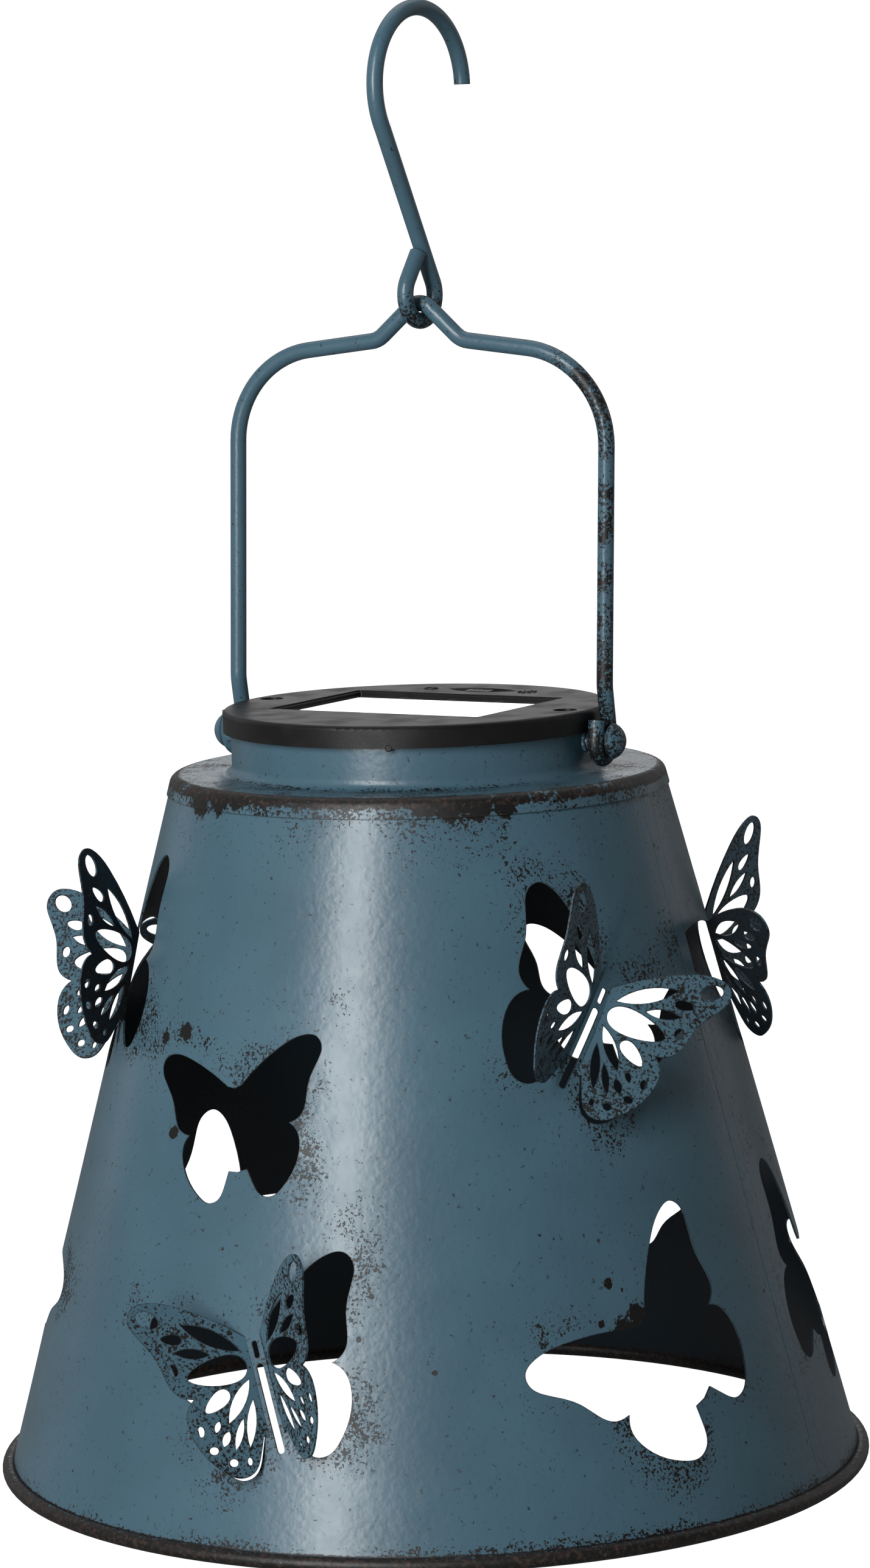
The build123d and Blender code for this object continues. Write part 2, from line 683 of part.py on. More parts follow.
def pan_head_screws(points, seat, head_radius, head_height, shank_radius, shank_length, up):
    """Screws with a cross recess; up is 1 when the shanks point up from the seat."""
    with BuildPart() as screws:
        with BuildSketch(module_plane(seat)):
            with Locations(*points):
                Circle(head_radius)
        extrude(amount=-up * head_height)
        end = screws.edges().filter_by(GeomType.CIRCLE).group_by(Axis.Z)[0 if up > 0 else -1]
        fillet(end, 0.4 * head_height)
        with BuildSketch(module_plane(seat)):
            with Locations(*points):
                Circle(shank_radius)
        extrude(amount=up * shank_length)
        with BuildSketch(module_plane(seat - up * head_height)):
            with Locations(*points):
                Rectangle(1.1 * head_radius, 0.24 * head_radius, rotation=25)
                Rectangle(1.1 * head_radius, 0.24 * head_radius, rotation=115)
        extrude(amount=up * 0.6 * head_height, mode=Mode.SUBTRACT)
    return screws


lid_screw_seat = lid_top - screw_head_height - screw_recess_spare
lid_screws = pan_head_screws(
    lid_screw_points, lid_screw_seat, screw_head_radius, screw_head_height,
    screw_radius, lid_screw_seat - ear_top + ear_thickness + 1.6, -1)
housing_screws = pan_head_screws(
    post_points, housing_screw_seat, screw_head_radius, screw_head_height,
    screw_radius, post_height - housing_screw_seat + screw_grip, 1)
board_screws = pan_head_screws(
    standoff_points, board_height + board_thickness, 1.9, 1.2, board_screw_radius, board_thickness + 3.0, -1)

with BuildPart() as battery_door:
    with BuildSketch(module_plane(cup_bottom)):
        with Locations((chamber_middle, battery_y)):
            RectangleRounded(door_length, door_width, 0.8)
    extrude(amount=door_thickness)
    with BuildSketch(module_plane(cup_bottom + door_thickness)):
        with Locations((0, battery_y)):
            with GridLocations(battery_length * 0.7, 1, 2, 1):
                Rectangle(1.2, 8.0)
    extrude(amount=battery_z - battery_radius - cup_bottom - door_thickness)
    with BuildSketch(module_plane(cup_bottom)):
        with Locations(door_screw_point):
            Circle(board_screw_radius + 0.15)
    extrude(amount=door_thickness, mode=Mode.SUBTRACT)

door_screw = pan_head_screws([door_screw_point], cup_bottom, 1.9, 1.2, board_screw_radius, cup_floor, 1)


def module_axis(x, y, z):
    """Vertical plane across the module's length at a point, looking along it."""
    return Plane(module_plane(z).from_local_coords(Vector(x, y, 0)), x_dir=(0, 0, 1),
                 z_dir=module_plane(0).x_dir)


with BuildPart() as battery_cell:
    with BuildSketch(module_axis(-battery_half, battery_y, battery_z)):
        Circle(battery_radius)
    extrude(amount=battery_length - battery_nub)
    with BuildSketch(module_axis(battery_half - battery_nub, battery_y, battery_z)):
        Circle(2.75)
    extrude(amount=battery_nub)

spring_axis = module_axis(chamber_left + contact_thickness, battery_y, battery_z)
with BuildPart() as battery_spring:
    with BuildLine() as coil:
        rise = spring_length - 2 * spring_wire - 0.3
        Helix(pitch=rise / 2, height=rise, radius=spring_radius, direction=spring_axis.z_dir,
              center=spring_axis.origin + spring_axis.z_dir * (spring_wire - 0.1))
    turns = coil.wires()[0]
    with BuildSketch(Plane(origin=turns @ 0, z_dir=turns % 0)):
        Circle(spring_wire)
    sweep(path=turns, is_frenet=True)
    with BuildSketch(module_axis(chamber_left, battery_y, battery_z)):
        Rectangle(12.0, 9.0)
    extrude(amount=contact_thickness)

with BuildPart() as battery_contact:
    with BuildSketch(module_axis(battery_half, battery_y, battery_z)):
        Rectangle(12.0, 9.0)
    extrude(amount=contact_thickness)

with BuildPart() as circuit_board:
    with BuildSketch(module_plane(board_height)):
        with Locations((0, board_y)):
            RectangleRounded(board_length, board_width, 1.0)
        with Locations(*standoff_points):
            Circle(board_screw_radius, mode=Mode.SUBTRACT)
    extrude(amount=board_thickness)

board_top = board_height + board_thickness
with BuildPart() as board_components:
    with BuildSketch(module_plane(board_top)):
        with Locations((8.0, board_y - 2)):
            Rectangle(5.0, 4.0)
        with Locations((-9.0, board_y + 1)):
            Rectangle(3.2, 1.6)
        with Locations((-9.0, board_y - 3)):
            Rectangle(3.2, 1.6)
    extrude(amount=1.4)
    with BuildSketch(module_plane(board_top)):
        with Locations((0, board_y - 5)):
            Circle(3.0)
    extrude(amount=4.5)
    with BuildSketch(module_plane(board_top)):
        with Locations((-1.0, board_y + 2)):
            Circle(2.5)
    extrude(amount=6.0)

led_radius, led_length, led_rim = 2.5, 8.6, 2.9
with BuildPart() as led:
    with BuildSketch(module_plane(board_height)):
        with Locations((0, board_y)):
            Circle(led_rim)
    extrude(amount=-1.0)
    with BuildSketch(module_plane(board_height - 1.0)):
        with Locations((0, board_y)):
            Circle(led_radius)
    extrude(amount=1.0 - led_length)
    fillet(led.edges().group_by(Axis.Z)[0], led_radius - 0.02)

lens_point = module_plane(0).from_local_coords(Vector(0, board_y, 0))
lens_plane = Plane(lens_point, x_dir=(1, 0, 0), z_dir=(0, -1, 0))
lens_foot = cup_bottom - lens_drop
inner_edge = cup_bottom + 0.5
outer_dome = dome_middle((cup_bottom, lens_radius), lens_foot)
inner_dome = dome_middle((inner_edge, lens_radius - lens_wall), lens_foot + lens_wall)
with BuildPart() as led_lens:
    with BuildSketch(lens_plane):
        with BuildLine():
            Line((lens_radius - lens_wall, floor_top), (lens_flange, floor_top))
            Line((lens_flange, floor_top), (lens_flange, floor_top - flange_thickness))
            Line((lens_flange, floor_top - flange_thickness), (lens_radius, floor_top - flange_thickness))
            Line((lens_radius, floor_top - flange_thickness), (lens_radius, cup_bottom))
            ThreePointArc((lens_radius, cup_bottom), outer_dome[::-1], (0, lens_foot))
            Line((0, lens_foot), (0, lens_foot + lens_wall))
            ThreePointArc((0, lens_foot + lens_wall), inner_dome[::-1], (lens_radius - lens_wall, inner_edge))
            Line((lens_radius - lens_wall, inner_edge), (lens_radius - lens_wall, floor_top))
        make_face()
    revolve(axis=Axis(lens_point, (0, 0, 1)))


def insulated_lead(*route, bend):
    """Round insulated wire along straight runs joined by bends."""
    with BuildPart() as lead:
        with BuildLine() as path:
            FilletPolyline(*[module_plane(z).from_local_coords(Vector(x, y, 0)) for x, y, z in route],
                           radius=[bend] * (len(route) - 2))
        run = path.wires()[0]
        with BuildSketch(Plane(origin=run @ 0, z_dir=run % 0)):
            Circle(lead_radius)
        sweep(path=run)
    return lead


panel_under = pocket_floor_height + tape_thickness
lead_red, lead_black = [
    insulated_lead((x, y, panel_under), (x, y, panel_under - 8), (x, board_y + 6, board_top + 5),
                   (x, board_y + 6, board_top), bend=2.0)
    for x, y in panel_lead_points
]
contact_top = battery_z + 6.0
lead_level = contact_top + 2.8
battery_leads = [
    insulated_lead((x, battery_y - 3, contact_top), (x, battery_y - 3, lead_level),
                   (side * 9.5, board_y + 8, lead_level), (side * 9.5, board_y + 8, board_top), bend=1.4)
    for side, x in ((-1, chamber_left + contact_thickness / 2), (1, chamber_right - contact_thickness / 2))
]
pin_end = tray_under - switch_height - pin_length
switch_leads = [
    insulated_lead((x, switch_centre[1], pin_end), (x, switch_centre[1], pin_end - 1.4),
                   (x, board_y + 9.5, pin_end - 1.4), (x, board_y + 9.5, board_top), bend=1.0)
    for x in (switch_centre[0] - pin_pitch, switch_centre[0])
]

# ---------------------------------------------------------------- write the parts
pieces = dict(
    shade=shade, rim_wire=rim_wire, top_cap=top_cap, stud_left=stud_left, stud_right=stud_right,
    bail=bail, hook=hook, bracket_left=bracket_left, bracket_right=bracket_right,
    solar_lid=solar_lid, panel_tape=panel_tape, solar_panel=solar_panel, lid_gasket=lid_gasket,
    switch_body=switch_body, switch_slider=switch_slider, lid_screws=lid_screws,
    lamp_housing=lamp_housing, housing_seal=housing_seal, housing_screws=housing_screws,
    battery_door=battery_door, door_screw=door_screw, battery_cell=battery_cell,
    battery_spring=battery_spring, battery_contact=battery_contact, circuit_board=circuit_board,
    board_components=board_components, board_screws=board_screws, led=led, led_lens=led_lens,
    lead_red=lead_red, lead_black=lead_black,
    battery_lead_minus=battery_leads[0], battery_lead_plus=battery_leads[1],
    switch_lead_1=switch_leads[0], switch_lead_2=switch_leads[1],
)
for name, piece in pieces.items():
    piece.part.label = name
    export_step(piece.part, f"parts/{name}.step")
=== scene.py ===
"""Looks of a hanging solar lantern: worn blue-grey paint on a pressed steel shade, cap, bail and hook,
a moulded black lid with a solar panel, and the small parts of the lamp inside."""

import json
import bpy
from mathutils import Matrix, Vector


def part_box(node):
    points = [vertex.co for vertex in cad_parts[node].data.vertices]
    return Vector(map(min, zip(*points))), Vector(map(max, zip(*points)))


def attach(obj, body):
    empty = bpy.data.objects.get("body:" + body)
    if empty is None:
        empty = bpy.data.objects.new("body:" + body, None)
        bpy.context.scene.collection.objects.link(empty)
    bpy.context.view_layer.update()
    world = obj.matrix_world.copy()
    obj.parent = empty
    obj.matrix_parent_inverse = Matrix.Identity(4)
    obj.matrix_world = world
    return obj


bl_info = {
    "name": "Solar lantern",
    "version": (1, 0, 0),
    "blender": (4, 5, 0),
    "location": "3D View > Sidebar > Lantern",
    "description": "Paint, plastic, panel and small fittings of a hanging solar lantern",
    "category": "Object",
}

from math import cos, hypot, radians, sin

import bpy
import numpy as np
from bpy.props import FloatProperty, FloatVectorProperty, PointerProperty
from mathutils import Matrix, Vector

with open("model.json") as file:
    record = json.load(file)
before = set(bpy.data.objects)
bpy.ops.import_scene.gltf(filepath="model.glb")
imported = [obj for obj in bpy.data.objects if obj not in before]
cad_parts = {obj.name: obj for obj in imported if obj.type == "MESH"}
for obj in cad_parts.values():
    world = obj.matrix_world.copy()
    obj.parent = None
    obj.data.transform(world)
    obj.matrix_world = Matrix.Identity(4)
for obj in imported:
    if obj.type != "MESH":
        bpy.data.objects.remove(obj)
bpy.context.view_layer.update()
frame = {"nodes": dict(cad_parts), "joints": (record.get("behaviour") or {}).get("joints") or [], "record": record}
mm = 0.001

# ---------------------------------------------------------------- places taken from the frame
lid_low, lid_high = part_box("solar_lid")
panel_low, panel_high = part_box("solar_panel")
stud_low, stud_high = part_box("stud_right")
joints = {joint["name"]: joint for joint in frame["joints"]}
pivot_height = joints["bail_swing"]["pos_m"][2]
apex = Vector(joints["hook_swing"]["pos_m"])
module_across = Vector(joints["switch_slide"]["axis"])
module_back = Vector((-module_across.y, module_across.x, 0))

# The wall of the shade: outer radius at two heights.
wall_foot = (110.6 * mm, 4.0 * mm)
wall_top = (64.6 * mm, 177.5 * mm)
wall_slope = (wall_top[0] - wall_foot[0]) / (wall_top[1] - wall_foot[1])
wall_lean = hypot(1, wall_slope)
collar_outside = 48.0 * mm
shoulder_diagonal = 244.9 * mm     # height plus radius on the corner of the cap's shoulder
seam_azimuth = 0.3

# Level of the surroundings in front of the lantern and behind it, and the camera.
front_level, back_level = 0.06, 0.30
camera_place = Vector((570.8, -1160.3, 341.65)) * mm
camera_turn, camera_pitch, camera_roll = 26.0, 0.126, 0.0263
camera_lens = 115.52

# Soft lights: name, azimuth, height, distance, width, tallness and radiance.
soft_lights = [
    ("key", -92.0, 0.72, 1.7, 0.35, 1.4, 21.0),
    ("fill", -135.0, 0.8, 2.2, 0.9, 1.2, 0.35),
    ("rim_left", 168.0, 0.6, 1.4, 0.35, 1.4, 0.35),
    ("rim_right", 60.0, 0.6, 1.4, 0.30, 1.4, 0.5),
    ("backdrop", 116.0, 0.58, 3.0, 0.9, 0.34, 1.9),
]

# Butterflies on the wall: azimuth, height (mm), turn and size, the raised ones and then the cut-outs.
raised_butterflies = [
    (-146.2, 130.2, 26.0, 1.21),
    (-32.9, 124.5, -36.7, 1.21),
    (-88.1, 42.2, 20.6, 1.21),
    (25.9, 130.8, 26.0, 1.21),
    (147.0, 124.5, -36.7, 1.21),
    (91.9, 42.2, 20.6, 1.21),
]
plain_butterflies = [
    (-97.7, 101.7, 11.0, 1.0),
    (-27.5, 43.1, 36.5, 1.26),
    (15.5, 46.5, -29.0, 1.26),
    (80.0, 105.5, 11.0, 1.0),
    (152.4, 43.3, 36.5, 1.26),
    (-163.8, 46.5, -29.0, 1.26),
]

# Places where the paint is chipped right off: middle (mm) and radius (mm).
wall_chips = [
    ((-34.0, -54.5, 179.2), 4.6), ((-26.5, -58.0, 179.8), 3.6), ((-20.5, -60.4, 180.6), 3.0),
    ((29.5, -56.8, 180.8), 3.6), ((35.0, -53.4, 180.2), 4.4), ((40.5, -49.4, 179.8), 4.2), ((46.0, -44.8, 179.6), 3.2),
    ((80.6, -55.8, 51.6), 4.6), ((81.5, -52.1, 56.0), 2.6), ((78.0, -58.8, 49.0), 3.4), ((76.2, -56.4, 64.0), 1.5),
    ((-30.9, -72.6, 123.5), 2.4), ((-38.0, -69.5, 121.0), 1.8), ((-31.6, -79.3, 99.2), 1.8),
    ((94.0, 14.0, 62.0), 3.4), ((44.2, -89.0, 46.4), 0.8), ((26.1, -93.7, 54.3), 0.7),
    ((28.1, -90.3, 64.3), 0.7), ((76.0, -60.5, 54.5), 1.0), ((73.5, -62.5, 50.0), 0.9), ((79.0, -54.0, 62.0), 0.8),
]


def wall_radius(height):
    """Outer radius of the shade's wall at a height, in metres."""
    return wall_foot[0] + wall_slope * (height - wall_foot[1])


def wall_frame(azimuth, height, turn):
    """Middle of a butterfly on the wall, and its directions across, along and outwards."""
    a, t = radians(azimuth), radians(turn)
    radius = wall_radius(height)
    middle = Vector((radius * cos(a), radius * sin(a), height))
    around = Vector((-sin(a), cos(a), 0))
    upward = Vector((wall_slope * cos(a), wall_slope * sin(a), 1)) / wall_lean
    outward = around.cross(upward)
    return middle, around * cos(t) + upward * sin(t), upward * cos(t) - around * sin(t), outward


# ---------------------------------------------------------------- settings
def colour(name, description, value):
    """A colour setting in linear RGB."""
    return FloatVectorProperty(name=name, description=description, subtype="COLOR", size=3, min=0, max=1,
                               default=value)


class LanternFinish(bpy.types.PropertyGroup):
    """Colours and wear of the lantern's surfaces."""

    paint: colour("Paint", "Blue-grey paint of the steel", (0.060, 0.124, 0.166))
    # Painted shade: the inside faces of the shade take this much darker copy of the paint in place of the shade that
    # falls inside the cone.
    painted_shade_inside: colour("Paint inside", "The same paint inside the shade", (0.006, 0.017, 0.027))
    undercoat: colour("Undercoat", "Black under the paint, seen where it is chipped", (0.0045, 0.0040, 0.0038))
    rub: colour("Rub-through", "Brown where an edge is rubbed", (0.050, 0.028, 0.020))
    plastic: colour("Lid plastic", "Moulded black plastic of the lid", (0.006, 0.006, 0.006))
    cell: colour("Solar cell", "Silicon under the panel's glass", (0.010, 0.012, 0.024))
    paint_roughness: FloatProperty(name="Paint roughness", description="Gloss of the paint", default=0.33,
                                   min=0, max=1)
    wear: FloatProperty(name="Wear", description="How far the flecks spread from an edge", default=1.0, min=0,
                        max=2)


class LanternSizes(bpy.types.PropertyGroup):
    """Sizes of the pieces that are added to the frame."""

    seam_width: FloatProperty(name="Seam width", description="Width of the lap seam", default=5.0 * mm,
                              unit="LENGTH")
    seam_height: FloatProperty(name="Seam height", description="Step of the lap seam", default=0.16 * mm,
                               unit="LENGTH")
    mark_height: FloatProperty(name="Mark height", description="Height of the moulded marks", default=0.25 * mm,
                               unit="LENGTH")


class LanternStage(bpy.types.PropertyGroup):
    """Floor, lights and camera."""

    floor_size: FloatProperty(name="Floor", description="Width of the floor", default=60.0, unit="LENGTH")
    white: FloatProperty(name="White", description="Brightness of the surroundings", default=1.0, min=0)


# ---------------------------------------------------------------- node helpers
def add(tree, kind, inputs=None, **settings):
    """A node with its settings, its inputs linked from sockets or set to values."""
    node = tree.nodes.new(kind)
    for key, value in settings.items():
        setattr(node, key, value)
    for key, value in (inputs or {}).items():
        socket = node.inputs[key]
        if isinstance(value, bpy.types.NodeSocket):
            tree.links.new(value, socket)
        else:
            socket.default_value = value
    return node


def calc(tree, operation, a, b=0.0, c=0.0, clamp=False):
    """Result of a Math node."""
    return add(tree, "ShaderNodeMath", {0: a, 1: b, 2: c}, operation=operation, use_clamp=clamp).outputs[0]


def vector_calc(tree, operation, a, b=(0, 0, 0), output=0):
    """Result of a Vector Math node."""
    return add(tree, "ShaderNodeVectorMath", {0: a, 1: b}, operation=operation).outputs[output]


def ramp(tree, value, low, high, start=0.0, end=1.0, smooth=True):
    """Value carried from low..high to start..end, without running past either."""
    node = add(tree, "ShaderNodeMapRange", {"Value": value, "From Min": low, "From Max": high, "To Min": start,
                                            "To Max": end},
               interpolation_type="SMOOTHSTEP" if smooth else "LINEAR")
    return node.outputs["Result"]


def blend(tree, factor, a, b):
    """Colour mixed from a to b."""
    node = add(tree, "ShaderNodeMix", data_type="RGBA")
    for socket, value in ((node.inputs[0], factor), (node.inputs[6], a), (node.inputs[7], b)):
        if isinstance(value, bpy.types.NodeSocket):
            tree.links.new(value, socket)
        else:
            socket.default_value = (*value, 1.0) if isinstance(value, (tuple, list)) and len(value) == 3 else value
    return node.outputs[2]


def noise(tree, vector, size, detail=3.0, roughness=0.55):
    """Noise whose lumps are about size metres across."""
    return add(tree, "ShaderNodeTexNoise", {"Vector": vector, "Scale": 1 / size, "Detail": detail,
                                            "Roughness": roughness}).outputs[0]


def grouped(tree, name, **inputs):
    """A placed node group; its outputs are read by name."""
    node = add(tree, "ShaderNodeGroup", node_tree=bpy.data.node_groups[name])
    for key, value in inputs.items():
        socket = node.inputs[key]
        if isinstance(value, bpy.types.NodeSocket):
            tree.links.new(value, socket)
        else:
            socket.default_value = value
    return node.outputs


def new_group(name, sockets_in, sockets_out):
    """An empty shader node group with its sockets, and its input and output nodes."""
    group = bpy.data.node_groups.new(name, "ShaderNodeTree")
    for label, kind, value in sockets_in:
        socket = group.interface.new_socket(label, in_out="INPUT", socket_type="NodeSocket" + kind)
        if value is not None:
            socket.default_value = value
    for label, kind in sockets_out:
        group.interface.new_socket(label, in_out="OUTPUT", socket_type="NodeSocket" + kind)
    return group, group.nodes.new("NodeGroupInput").outputs, group.nodes.new("NodeGroupOutput").inputs


def new_material(name):
    """A material with a Principled BSDF; returns it, its tree and the shader node."""
    material = bpy.data.materials.new(name)
    material.use_nodes = True
    tree = material.node_tree
    shader = tree.nodes["Principled BSDF"]
    return material, tree, shader


def object_point(tree):
    """Place on the piece in metres."""
    return add(tree, "ShaderNodeTexCoord").outputs["Object"]


# ---------------------------------------------------------------- shared effects
def build_flecks():
    """Flecks: a mask of ragged specks whose number follows a density from 0 to 1."""
    group, given, out = new_group("flecks", [("Vector", "Vector", None), ("Density", "Float", 0.5),
                                             ("Size", "Float", 0.8 * mm)], [("Mask", "Float")])
    point = vector_calc(group, "SCALE", given["Vector"])
    group.links.new(calc(group, "DIVIDE", 1.0, given["Size"]), point.node.inputs["Scale"])
    fine = add(group, "ShaderNodeTexNoise", {"Vector": point, "Scale": 1.0, "Detail": 2.0, "Roughness": 0.7})
    patches = add(group, "ShaderNodeTexNoise", {"Vector": point, "Scale": 0.16, "Detail": 3.0, "Roughness": 0.6})
    level = calc(group, "MULTIPLY_ADD", patches.outputs[0], 0.36, fine.outputs[0])
    level = calc(group, "SUBTRACT", level, 0.18)
    needed = ramp(group, given["Density"], 0.0, 1.0, 0.78, 0.42, smooth=False)
    mask = ramp(group, calc(group, "SUBTRACT", level, needed), -0.008, 0.022)
    group.links.new(mask, out["Mask"])


def build_chip():
    """Chip: a ragged patch round a middle."""
    group, given, out = new_group("chip", [("Vector", "Vector", None), ("Middle", "Vector", None),
                                           ("Radius", "Float", 2 * mm), ("Ragged", "Float", 0.0)],
                                  [("Mask", "Float")])
    away = vector_calc(group, "DISTANCE", given["Vector"], given["Middle"], output="Value")
    reach = calc(group, "DIVIDE", away, given["Radius"])
    reach = calc(group, "MULTIPLY_ADD", given["Ragged"], 1.7, reach)
    group.links.new(ramp(group, reach, 1.72, 1.86, 1.0, 0.0), out["Mask"])


def build_butterfly_distance():
    """Butterfly distance: how far, in metres, a point lies outside a butterfly of four rounded wings."""
    group, given, out = new_group(
        "butterfly_distance", [("Vector", "Vector", None), ("Middle", "Vector", None), ("Across", "Vector", None),
                               ("Along", "Vector", None), ("Outward", "Vector", None), ("Size", "Float", 1.0)],
        [("Distance", "Float")])
    offset = vector_calc(group, "SUBTRACT", given["Vector"], given["Middle"])
    x = calc(group, "ABSOLUTE", vector_calc(group, "DOT_PRODUCT", offset, given["Across"], output="Value"))
    y = vector_calc(group, "DOT_PRODUCT", offset, given["Along"], output="Value")
    facing = vector_calc(group, "DOT_PRODUCT", offset, given["Outward"], output="Value")
    x, y = calc(group, "DIVIDE", x, given["Size"]), calc(group, "DIVIDE", y, given["Size"])
    nearest = None
    for middle, long_half, short_half, turn in (((13.6, 13.6), 14.6, 7.4, 41), ((10.2, -6.2), 10.6, 8.2, -62)):
        c, s = cos(radians(turn)), sin(radians(turn))
        u, v = calc(group, "SUBTRACT", x, middle[0] * mm), calc(group, "SUBTRACT", y, middle[1] * mm)
        along = calc(group, "MULTIPLY_ADD", v, s, calc(group, "MULTIPLY", u, c))
        beside = calc(group, "MULTIPLY_ADD", v, c, calc(group, "MULTIPLY", u, -s))
        stretch = calc(group, "SQRT", calc(group, "ADD",
                                           calc(group, "POWER", calc(group, "DIVIDE", along, long_half * mm), 2.0),
                                           calc(group, "POWER", calc(group, "DIVIDE", beside, short_half * mm), 2.0)))
        away = calc(group, "MULTIPLY", calc(group, "SUBTRACT", stretch, 1.0), short_half * 1.25 * mm)
        nearest = away if nearest is None else calc(group, "MINIMUM", nearest, away)
    far_side = ramp(group, facing, -40 * mm, -30 * mm, 1.0, 0.0)
    group.links.new(calc(group, "ADD", calc(group, "MULTIPLY", nearest, given["Size"]), far_side), out["Distance"])


def build_edge_line():
    """Edge line: a mask along the corners of a sheet, from how a rounded normal leaves the true one."""
    group, given, out = new_group("edge_line", [("Radius", "Float", 0.5 * mm)], [("Mask", "Float")])
    rounded = add(group, "ShaderNodeBevel", {"Radius": given["Radius"]}, samples=4)
    true = add(group, "ShaderNodeNewGeometry").outputs["Normal"]
    together = vector_calc(group, "DOT_PRODUCT", rounded.outputs[0], true, output="Value")
    group.links.new(ramp(group, together, 0.985, 0.80), out["Mask"])


def build_paint_skin():
    """Paint skin: height of a sprayed paint film, an orange peel with broad ripples."""
    group, given, out = new_group("paint_skin", [("Vector", "Vector", None)], [("Height", "Float")])
    peel = noise(group, given["Vector"], 1.8 * mm, 1.5, 0.5)
    ripple = noise(group, given["Vector"], 9 * mm, 1.0, 0.4)
    group.links.new(calc(group, "MULTIPLY_ADD", ripple, 0.9, peel), out["Height"])


def build_grain():
    """Grain: height of a fine moulded texture."""
    group, given, out = new_group("grain", [("Vector", "Vector", None), ("Size", "Float", 0.5 * mm)],
                                  [("Height", "Float")])
    scale = calc(group, "DIVIDE", 1.0, given["Size"])
    fine = add(group, "ShaderNodeTexNoise", {"Vector": given["Vector"], "Scale": scale, "Detail": 3.0})
    group.links.new(fine.outputs[0], out["Height"])


# ---------------------------------------------------------------- materials
def paint_shader(name, finish, wear_density, chips, edge_width=0.45 * mm, inside=None, rubbed=None):
    """Worn satin paint: colour and gloss from the film, black chips and flecks, and rubbed edges; where inside is
    given, the faces it marks take a darker copy of the paint as painted shade.

    wear_density and chips are functions of the tree and the point, and give a density and a mask.
    """
    material, tree, shader = new_material(name)
    point = object_point(tree)
    cloud = noise(tree, point, 30 * mm, 2.0)
    film = blend(tree, ramp(tree, cloud, 0.3, 0.7), tuple(c * 0.93 for c in finish.paint),
                 tuple(c * 1.07 for c in finish.paint))
    # Painted shade: faces that look at the shade's axis take the darker inside colour in place of the film.
    if inside is not None:
        film = blend(tree, inside(tree, point), film, tuple(finish.painted_shade_inside))
    edge = grouped(tree, "edge_line", Radius=edge_width)["Mask"]
    breakup = noise(tree, point, 1.4 * mm, 3.0, 0.65)
    if rubbed is not None:
        edge = calc(tree, "MAXIMUM", edge, rubbed(tree, point))
    edge_worn = ramp(tree, calc(tree, "MULTIPLY_ADD", edge, 0.42, breakup), 0.62, 0.74)
    density = calc(tree, "MULTIPLY", wear_density(tree, point), finish.wear, clamp=True)
    flecks = grouped(tree, "flecks", Vector=point, Density=density)["Mask"]
    chipped = chips(tree, point, breakup)
    bare = calc(tree, "MAXIMUM", flecks, chipped)
    rub_tone = blend(tree, ramp(tree, noise(tree, point, 1.2 * mm, 3.0), 0.45, 0.75), tuple(finish.undercoat),
                     tuple(finish.rub))
    worn_tone = blend(tree, ramp(tree, noise(tree, point, 2.2 * mm, 3.0), 0.50, 0.70), tuple(finish.undercoat),
                      tuple(c * 0.3 for c in finish.rub))
    tone = blend(tree, flecks, film, worn_tone)
    tone = blend(tree, chipped, tone, tuple(finish.undercoat))
    tone = blend(tree, edge_worn, tone, rub_tone)
    tree.links.new(tone, shader.inputs["Base Color"])
    gloss = calc(tree, "MULTIPLY_ADD", noise(tree, point, 6 * mm, 2.0), 0.10, finish.paint_roughness - 0.05)
    gloss = calc(tree, "MULTIPLY_ADD", calc(tree, "MAXIMUM", bare, edge_worn), 0.16, gloss)
    tree.links.new(gloss, shader.inputs["Roughness"])
    height = calc(tree, "MULTIPLY_ADD", bare, -0.9, grouped(tree, "paint_skin", Vector=point)["Height"])
    bump = add(tree, "ShaderNodeBump", {"Height": height, "Strength": 0.7, "Distance": 0.10 * mm})
    tree.links.new(bump.outputs[0], shader.inputs["Normal"])
    return material


def separate(tree, vector):
    """x, y and z of a vector."""
    return add(tree, "ShaderNodeSeparateXYZ", {0: vector}).outputs


def axis_distance(tree, place):
    """Distance from the shade's axis, from the separated place."""
    flat = add(tree, "ShaderNodeCombineXYZ", {0: place["X"], 1: place["Y"]}).outputs[0]
    return vector_calc(tree, "LENGTH", flat, output="Value")


def band(tree, value, middle, half, soft):
    """1 within half of middle, falling to 0 over soft."""
    away = calc(tree, "ABSOLUTE", calc(tree, "SUBTRACT", value, middle))
    return ramp(tree, away, half, half + soft, 1.0, 0.0)


def chip_masks(places):
    """A function that joins the chips at some places into one mask."""
    def joined(tree, point, breakup):
        mask = None
        for middle, radius in places:
            one = grouped(tree, "chip", Vector=point, Middle=[c * mm for c in middle], Radius=radius * mm,
                          Ragged=breakup)["Mask"]
            mask = one if mask is None else calc(tree, "MAXIMUM", mask, one)
        return mask if mask is not None else calc(tree, "MULTIPLY", breakup, 0.0)
    return joined


